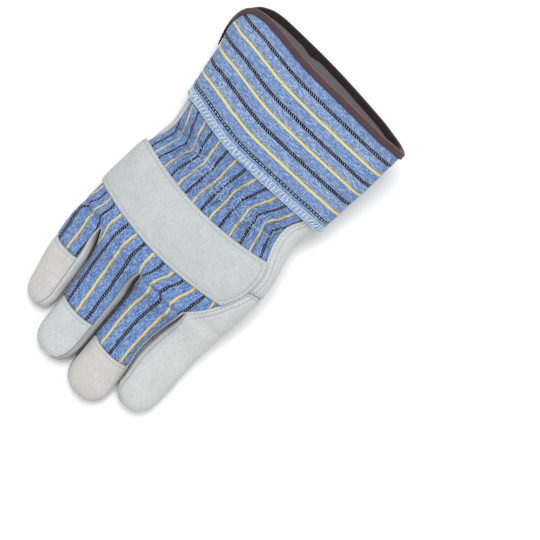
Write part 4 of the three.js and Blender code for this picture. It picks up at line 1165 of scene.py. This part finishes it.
def cuffWeave(p):
    # the stripes run round the cuff, and its palm side carries on those of its back
    rows = p[:, 1] - cuffRise(p)
    step = linesAt[-1] - linesAt[-2]
    numbers = np.interp(rows, linesAt, np.arange(len(linesAt)))
    numbers += np.maximum(0, rows - linesAt[-1]) / step + np.clip((linesAt[0] - rows) / step, 0, 0.75)
    above = p[:, 2] - cuffRound["middleZ"]
    x = np.where(above > 0, p[:, 0], cuffRound["along"] - p[:, 0])
    return np.stack([numbers * stripePitch, x, np.arctan2(above, p[:, 0] / cuffRound["flat"])], axis=1)


wholeCuff = np.full(len(cuffSkin["faces"]), True)
points = usedPoints(cuffSkin, wholeCuff)[0]
lift = relief(points, (0.35, 38, 41), (0.14, 15, 42))
lift -= cuffShape["hemDeep"] * hump(points[:, 1] - cuffShape["hemY"], cuffShape["hemWide"])
overlock = {"low": 47.95, "high": 52.8, "middle": 50.4, "fade": 0.5}
inBand = within(points[:, 1] - cuffRise(points), overlock["low"], overlock["high"], overlock["fade"])
fields = {"weave": cuffWeave(points), "overlocked": inBand}
shell = shellOf(cuffSkin, wholeCuff, lift, walls["cloth"], 0)
newPiece("cuff", "clothCuff", shell, clothes["Cuff"], fields)


wovenRange = {"from": (0.25, 0.75), "to": (0.75, 1.25)}  # of the weave, and how light it makes the cloth


def plainCloth(name, code, look):
    # look holds the weave's sizes in mm, the slant of its ribs in degrees, and the finish
    material, add = newMaterial(name)
    weave = add("Attribute", attribute_name="weave").outputs["Vector"]
    turned = add("Mapping", {"Vector": weave, "Rotation": (0, 0, math.radians(look["slant"]))})
    scale = 2 * math.pi / (20 * look["ribMm"])  # the texture's own bands are 2 pi / 20 wide
    ribs = add("TexWave", {"Vector": turned, "Scale": scale, "Distortion": 1.2, "Detail": 2.0,
                           "Detail Scale": 3.0}, wave_type="BANDS", bands_direction="X").outputs["Fac"]
    fuzz = add("TexNoise", {"Vector": weave, "Scale": 1 / look["fuzzMm"], "Detail": 3.0})
    blend = add("Mix", {0: 0.5, 2: ribs, 3: fuzz}, data_type="FLOAT")
    shade = add("MapRange", [blend, *wovenRange["from"], *wovenRange["to"]])
    # painted shade: the deep attribute darkens the colour, down to deepShade; the tape has it on the
    # mouth's far side
    deep = add("Attribute", attribute_name="deep").outputs["Fac"]
    left = add("MapRange", {0: deep, 3: 1.0, 4: look["deepShade"]})
    light = add("Math", [shade, left], operation="MULTIPLY")
    toned = add("VectorMath", {0: linearColour(code)[:3], "Scale": light}, operation="SCALE")
    finish = {"Sheen Roughness": 0.5, "IOR": 1.45, "Specular IOR Level": 0.25, **look["finish"]}
    dress(add, toned, blend, look["bumpMm"], finish)
    return material


# The lining is a plain grey cotton, matt; its threads are 0.4 mm apart, drawn at 1.1 mm to show
liningLook = {"ribMm": 1.1, "slant": 0, "fuzzMm": 1.4, "bumpMm": 0.2, "deepShade": 0.5,
              "finish": {"Roughness": 0.9, "Sheen Weight": 0.1}}
lining = plainCloth("wovenCottonGrey", "#676568", liningLook)
# The tape is a brown cotton twill, matt; its ribs are 0.5 mm apart, drawn at 1.0 mm to show
tapeLook = {"ribMm": 1.0, "slant": 50, "fuzzMm": 0.8, "bumpMm": 0.25, "deepShade": 0.28,
            "finish": {"Roughness": 0.85, "Sheen Weight": 0.12}}
tape = plainCloth("twillTapeBrown", "#4d3738", tapeLook)
liningLift = lift[np.unique(cuffSkin["faces"][lined])] - walls["cloth"] - layerGap
newPiece("cuff_lining", "clothLining", shellOf(cuffSkin, lined, liningLift, walls["lining"], 0), lining,
         {"weave": cuffWeave(usedPoints(cuffSkin, lined)[0])})

tapeShape = {"wide": 4.2, "inside": 0.2, "dentX": -22.0, "dentDeep": 2.0, "dentWide": 5.0, "steepest": 0.4,
             "shadeZ": 24.0, "shadeOver": 8.0}
tapeHem = [(0.3, 0.0), (0.8, 0.1), (1.0, 0.5)]  # shares of its thickness, and mm from its edge


def tapeSection():
    # height above the cloth's face and depth below its end, round the folded tape
    outside = layerGap
    inside = -walls["cloth"] - layerGap - walls["lining"] - layerGap
    near = tapeShape["wide"] - tapeReach
    far = near + tapeShape["inside"]
    t, full = walls["tape"], fullness["tape"]
    centre, half = (outside + inside) / 2, (outside - inside) / 2 + t
    turns = np.radians(np.arange(0, 181, 15))
    fold = [(centre + half * swell(math.cos(a), full), -tapeReach * swell(math.sin(a), full))
            for a in turns]
    outer = [(outside + share * t, near - back) for share, back in tapeHem] + [(outside + t, near / 2)]
    inner = [(inside - t, far / 2)] + [(inside - share * t, far - back) for share, back in tapeHem[::-1]]
    return outer + fold + inner + [(inside, -layerGap), (outside, -layerGap)]


mouth, lower = cuffRows[[-1, -4]]
mouthNormals, lowerNormals = cuffSkin["normals"].reshape(cuffRows.shape)[[-1, -4]]
column = lower - mouth
long = np.linalg.norm(column, axis=1)
lean = (unit(np.roll(mouth, -1, axis=0) - np.roll(mouth, 1, axis=0)) * column).sum(1) / long
steep = np.maximum(np.sqrt(1 - lean**2), tapeShape["steepest"])
rimLift = lift.reshape(rowCount, columnCount)[-1]
onPalmSide = mouth[:, 2] < cuffRound["middleZ"]
dent = tapeShape["dentDeep"] * hump(mouth[:, 0] - tapeShape["dentX"], tapeShape["dentWide"]) * onPalmSide
tapePoints = []
for height, down in tapeSection():
    down = down + dent * np.clip(down / tapeShape["wide"], 0, 1) * (height < -walls["cloth"])
    share = (down / long / steep)[:, None]
    normal = mix(mouthNormals, lowerNormals, np.maximum(0, share))
    tapePoints.append(mouth + column * share + normal * (height + rimLift)[:, None])
tapePoints = np.array(tapePoints)
tapeCloth = np.zeros_like(tapePoints)
tapeCloth[:, :, 0] = np.cumsum(np.linalg.norm(np.roll(mouth, -1, axis=0) - mouth, axis=1))
tapeCloth[:-1, :, 1] = np.cumsum(np.linalg.norm(np.diff(tapePoints[:, 0], axis=0), axis=1))[:, None]
tapeCloth[-1, :, 1] = tapeCloth[-2, :, 1]
# painted shade: the tape on the far side of the mouth, which lies in its own shade, is darkened
shade = ease((tapeShape["shadeZ"] - tapePoints[:, :, 2].ravel()) / tapeShape["shadeOver"])
# rolled on by one corner, so that each quad is cut along its other diagonal
faces = np.roll(gridFaces(len(tapePoints), columnCount, True, True), -1, axis=1)
newPiece("cuff_binding", "tapeBinding", (tapePoints.reshape(-1, 3), faces), tape,
         {"weave": tapeCloth.reshape(-1, 3), "deep": shade})

patchShape = {"half": 32.0, "tall": 22.0, "x": -2.0, "curve": 2.2, "across": 60, "rows": 36, "endAngle": 88,
              "inset": 4.6, "dip": {"width": 1.0, "depth": 0.5}}
climb = np.sin(np.linspace(0, math.radians(patchShape["endAngle"]), patchShape["rows"]))
halves = patchShape["half"] * (1 - climb ** patchShape["curve"]) ** (1 / patchShape["curve"])
patchX = patchShape["x"] + halves[:, None] * np.linspace(1, -1, patchShape["across"] + 1)
patchY = cuffStartY + layerGap + patchShape["tall"] * climb[:, None] + 0 * patchX
patchPoints = np.stack([patchX, patchY, surfaceZ(cuffSections, patchX, patchY, False)], axis=2)
patchSkin = skinOf(patchPoints.reshape(-1, 3), gridFaces(*patchX.shape, False, False), {})
wholePatch = np.full(len(patchSkin["faces"]), True)
lift = onTop + seamDip(edgeDistance(patchSkin, wholePatch), **patchShape["dip"])
leatherPiece("pulse_patch", "leatherPatch", patchSkin, wholePatch, lift)

print("stitches: rows of thread")
stitchSizes = ("Pitch", "Length", "Thickness", "Lean", "Wander", "Share")


def stitchTree():
    # lays a short thread at each step of a path, lying along it or leaning across it
    tree = bpy.data.node_groups.new("stitchRow", "GeometryNodeTree")
    sizes = dict.fromkeys(stitchSizes, "Float")
    for name, kind in {"Path": "Geometry", **sizes, "Seed": "Int", "Material": "Material"}.items():
        tree.interface.new_socket(name, in_out="INPUT", socket_type="NodeSocket" + kind)
    tree.interface.new_socket("Stitches", in_out="OUTPUT", socket_type="NodeSocketGeometry")
    add = partial(addNode, tree)
    given = add("NodeGroupInput").outputs
    curve = add("GeometryNodeMeshToCurve", [given["Path"]])
    steps = add("GeometryNodeResampleCurve", {"Curve": curve, "Length": given["Pitch"]}, mode="LENGTH")
    ball = add("GeometryNodeMeshUVSphere", {"Segments": 6, "Rings": 5, "Radius": 0.5})
    rounded = add("GeometryNodeSetShadeSmooth", [ball])
    size = add("CombineXYZ", [given["Length"], given["Thickness"], given["Thickness"]])
    along = add("GeometryNodeInputTangent")
    up = add("GeometryNodeInputNamedAttribute", {"Name": "up"}, data_type="FLOAT_VECTOR")
    turned = add("FunctionNodeAlignRotationToVector", {"Vector": up}, axis="Z")
    turned = add("FunctionNodeAlignRotationToVector", {"Rotation": turned, "Vector": along}, axis="X",
                 pivot_axis="Z")
    wander = add("FunctionNodeRandomValue", {2: -1.0, 3: 1.0, "Seed": given["Seed"]}, data_type="FLOAT")
    lean = add("Math", [wander, given["Wander"], given["Lean"]], operation="MULTIPLY_ADD")
    leaning = add("CombineXYZ", {2: lean})
    turned = add("FunctionNodeRotateRotation", [turned, leaning], rotation_space="LOCAL")
    kept = add("FunctionNodeRandomValue", {"Probability": given["Share"], "Seed": given["Seed"]},
               data_type="BOOLEAN")
    laid = add("GeometryNodeInstanceOnPoints", {"Points": steps, "Selection": kept, "Instance": rounded,
                                                "Rotation": turned, "Scale": size})
    real = add("GeometryNodeRealizeInstances", [laid])
    dyed = add("GeometryNodeSetMaterial", {"Geometry": real, "Material": given["Material"]})
    add("NodeGroupOutput", [dyed])
    return tree


stitches = stitchTree()
threadLift = 0.05


def sew(name, rows, material, seed, shape):
    # one piece of thread work from loose paths; shape has its sizes in mm and its leans in radians
    points, ups = (np.concatenate(column) for column in zip(*rows))
    joins, first = [], 0
    for row, _ in rows:
        joins += [(first + i, first + i + 1) for i in range(len(row) - 1)]
        first += len(row)
    paths = bpy.data.meshes.new(name)
    paths.from_pydata((points + ups * threadLift * mm).tolist(), joins, [])
    upward = paths.attributes.new("up", "FLOAT_VECTOR", "POINT").data
    upward.foreach_set("vector", ups.astype(np.float32).ravel())
    obj = link(bpy.data.objects.new(name, paths))
    modifier = obj.modifiers.new("sew", "NODES")
    modifier.node_group = stitches
    settings = {"Share": 1.0, **shape, "Seed": seed, "Material": material}
    settings.update({side: shape[side] * mm for side in ("Pitch", "Length", "Thickness")})
    for item in stitches.interface.items_tree:
        if item.in_out == "INPUT" and item.name in settings:
            modifier[item.identifier] = settings[item.name]
    thread = evaluatedMesh(obj)
    obj.modifiers.clear()
    obj.data = thread
    bpy.data.meshes.remove(paths)
    thread.name = name
    print(name, len(thread.polygons), "faces")
    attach(obj, "root")
    return obj


# Spun polyester sewing thread, matt
threadLook = {"twistMm": 0.6, "twistRange": (0.35, 0.65), "darker": 0.8, "lighter": 1.1, "bumpMm": 0.1,
              "finish": {"Roughness": 0.7, "Sheen Weight": 0.1}}


def threadMaterial(name, code):
    look = threadLook
    material, add = newMaterial(name)
    place = add("TexCoord").outputs["Object"]
    twist = add("TexNoise", {"Vector": place, "Scale": 1 / (look["twistMm"] * mm)})
    shade = add("MapRange", [twist, *look["twistRange"], look["darker"], look["lighter"]])
    toned = add("VectorMath", {0: linearColour(code)[:3], "Scale": shade}, operation="SCALE")
    dress(add, toned, twist, look["bumpMm"], look["finish"])
    return material


def roundCuff(y):
    # a path round the cuff that stops on both sides of the patch
    ring = cuffRing(np.full(columnCount, y), cuffShape["fine"])
    onPalmSide = ring[:, 2] < cuffRound["middleZ"]
    under = onPalmSide & (np.abs(ring[:, 0] - patchShape["x"]) < patchShape["half"] + 1)
    ring = np.roll(ring, -1 - np.flatnonzero(under)[-1], axis=0)
    return laidOn(surfaceOf(made["cuff"]), placed(ring[:columnCount - under.sum()]))


def acrossWrist(y):
    # a path of elastic over the gathered back
    x = np.linspace(shirring["leftX"], shirring["rightX"], shirring["points"])
    y = y + rowRise(x) + relief(x[:, None], (0.5, 12, 61))
    path = np.stack([x, y, surfaceZ(handSections, x, y, True) + 2], axis=1)
    return laidOn(surfaceOf(made["back_panel"]), placed(path))


threadColours = {"polyesterThreadSea": "#8ba0a1", "polyesterThreadPale": "#cfd8e3",
                 "polyesterThreadMilky": "#a9bac6", "polyesterThreadMint": "#c3d0cc",
                 "elasticThreadPale": "#b4cdd2", "polyesterThreadBrown": "#35282a"}
sea, pale, milky, mint, elastic, brown = [threadMaterial(*dye) for dye in threadColours.items()]
patchRows = stitchedRows(made["pulse_patch"], patchSkin, wholePatch, None, patchShape["inset"], onTop)
edgeRows = [roundCuff(overlock["low"]), roundCuff(overlock["high"])]
legRows = [roundCuff(overlock["middle"])]
hemRows = [roundCuff(linesAt[0])]
elasticRows = [acrossWrist(y) for y in shirring["rows"]]
tieRows = [acrossWrist(shirring["rows"][0] + shirring["tieStep"] * step) for step in shirring["ties"]]
tapeRows = [laidOn(surfaceOf(made["cuff_binding"]), placed(tapePoints[2] * 0.7 + tapePoints[3] * 0.3))]
lockstitch = (2.5, 2.2, 0.5, 0.0, 0.12)
# By slot: name, rows, thread and seed, then the stitches' pitch, length and thickness in mm,
# their lean and how much it wanders in radians, and the share of them that shows
threadWork = {
    "split_leather": [
        ("threadSeams", sewnRows, sea, 3, *lockstitch),
        ("threadPatch", patchRows, sea, 9, *lockstitch),
    ],
    "striped_cuff_cloth": [
        ("threadOverlockEdges", edgeRows, pale, 5, 2.2, 2.7, 0.5, 0.06, 0.16),
        ("threadOverlockLegs", legRows, pale, 6, 2.8, 5.2, 0.72, 1.3, 0.4),
        ("threadOverlockLoops", legRows, milky, 12, 1.4, 4.8, 0.5, 1.7, 0.5, 0.45),
        ("threadHem", hemRows, mint, 7, 2.5, 2.0, 0.5, 0.0, 0.1),
    ],
    "striped_cloth": [
        ("threadElastic", elasticRows, elastic, 8, 2.1, 2.5, 0.45, 0.05, 0.3, 0.75),
        ("threadElasticTies", tieRows, elastic, 11, 1.9, 1.5, 0.4, 0.8, 1.2, 0.35),
    ],
    "binding_tape": [("threadBinding", tapeRows, brown, 10, 2.6, 2.0, 0.4, 0.0, 0.1)],
}
for slotName, works in threadWork.items():
    [sew(name, rows, material, seed, dict(zip(stitchSizes, sizes)))
                      for name, rows, material, seed, *sizes in works]

print("camera, light and floor")
scene = bpy.context.scene
camera = bpy.data.cameras.new("camera")
camera.lens = camera.sensor_width * (eye["height"] - eye["plane"]) / eye["wide"]
camera.clip_start, camera.clip_end = 0.05, 20
scene.camera = link(bpy.data.objects.new("camera", camera))
scene.camera.location = (np.array([eye["x"], eye["y"], eye["height"]]) + tableShift) * mm
scene.camera.rotation_euler = (0, 0, math.radians(eye["roll"]))

roomLight = 0.62
scene.world = bpy.data.worlds.new("paleRoom")
scene.world.use_nodes = True
background = scene.world.node_tree.nodes["Background"].inputs
background["Color"].default_value = (1, 1, 1, 1)
background["Strength"].default_value = roomLight
lamps = {"softbox": {"place": (-0.2, 0.42, 1.4), "size": 0.7, "power": 16.0},
         "fill": {"place": (0.8, -0.5, 1.3), "size": 1.2, "power": 5.0}}
for name, facts in lamps.items():
    lamp = bpy.data.lights.new(name, "AREA")
    lamp.shape, lamp.size, lamp.energy = "SQUARE", facts["size"], facts["power"]
    lampObject = link(bpy.data.objects.new(name, lamp))
    lampObject.location = facts["place"]
    lampObject.rotation_euler = (-Vector(facts["place"])).to_track_quat("-Z", "Y").to_euler()

# The floor is a sheet of matt white paper, faintly uneven
paper = {"colour": "#f4f4f4", "reach": 3.0, "grainMm": 3.0, "bumpMm": 0.02}
paperMaterial, add = newMaterial("mattPaperWhite")
place = add("TexCoord").outputs["Object"]
grain = add("TexNoise", {"Vector": place, "Scale": 1 / (paper["grainMm"] * mm)})
dress(add, linearColour(paper["colour"]), grain, paper["bumpMm"], {"Roughness": 0.9})
floorMesh = bpy.data.meshes.new("floor")
corners = [(x * paper["reach"], y * paper["reach"], 0) for x, y in ((-1, -1), (1, -1), (1, 1), (-1, 1))]
floorMesh.from_pydata(corners, [], [(0, 1, 2, 3)])
floorMesh.materials.append(paperMaterial)
floor = link(bpy.data.objects.new("floor", floorMesh))
scene.view_settings.view_transform = "Standard"

print("done")
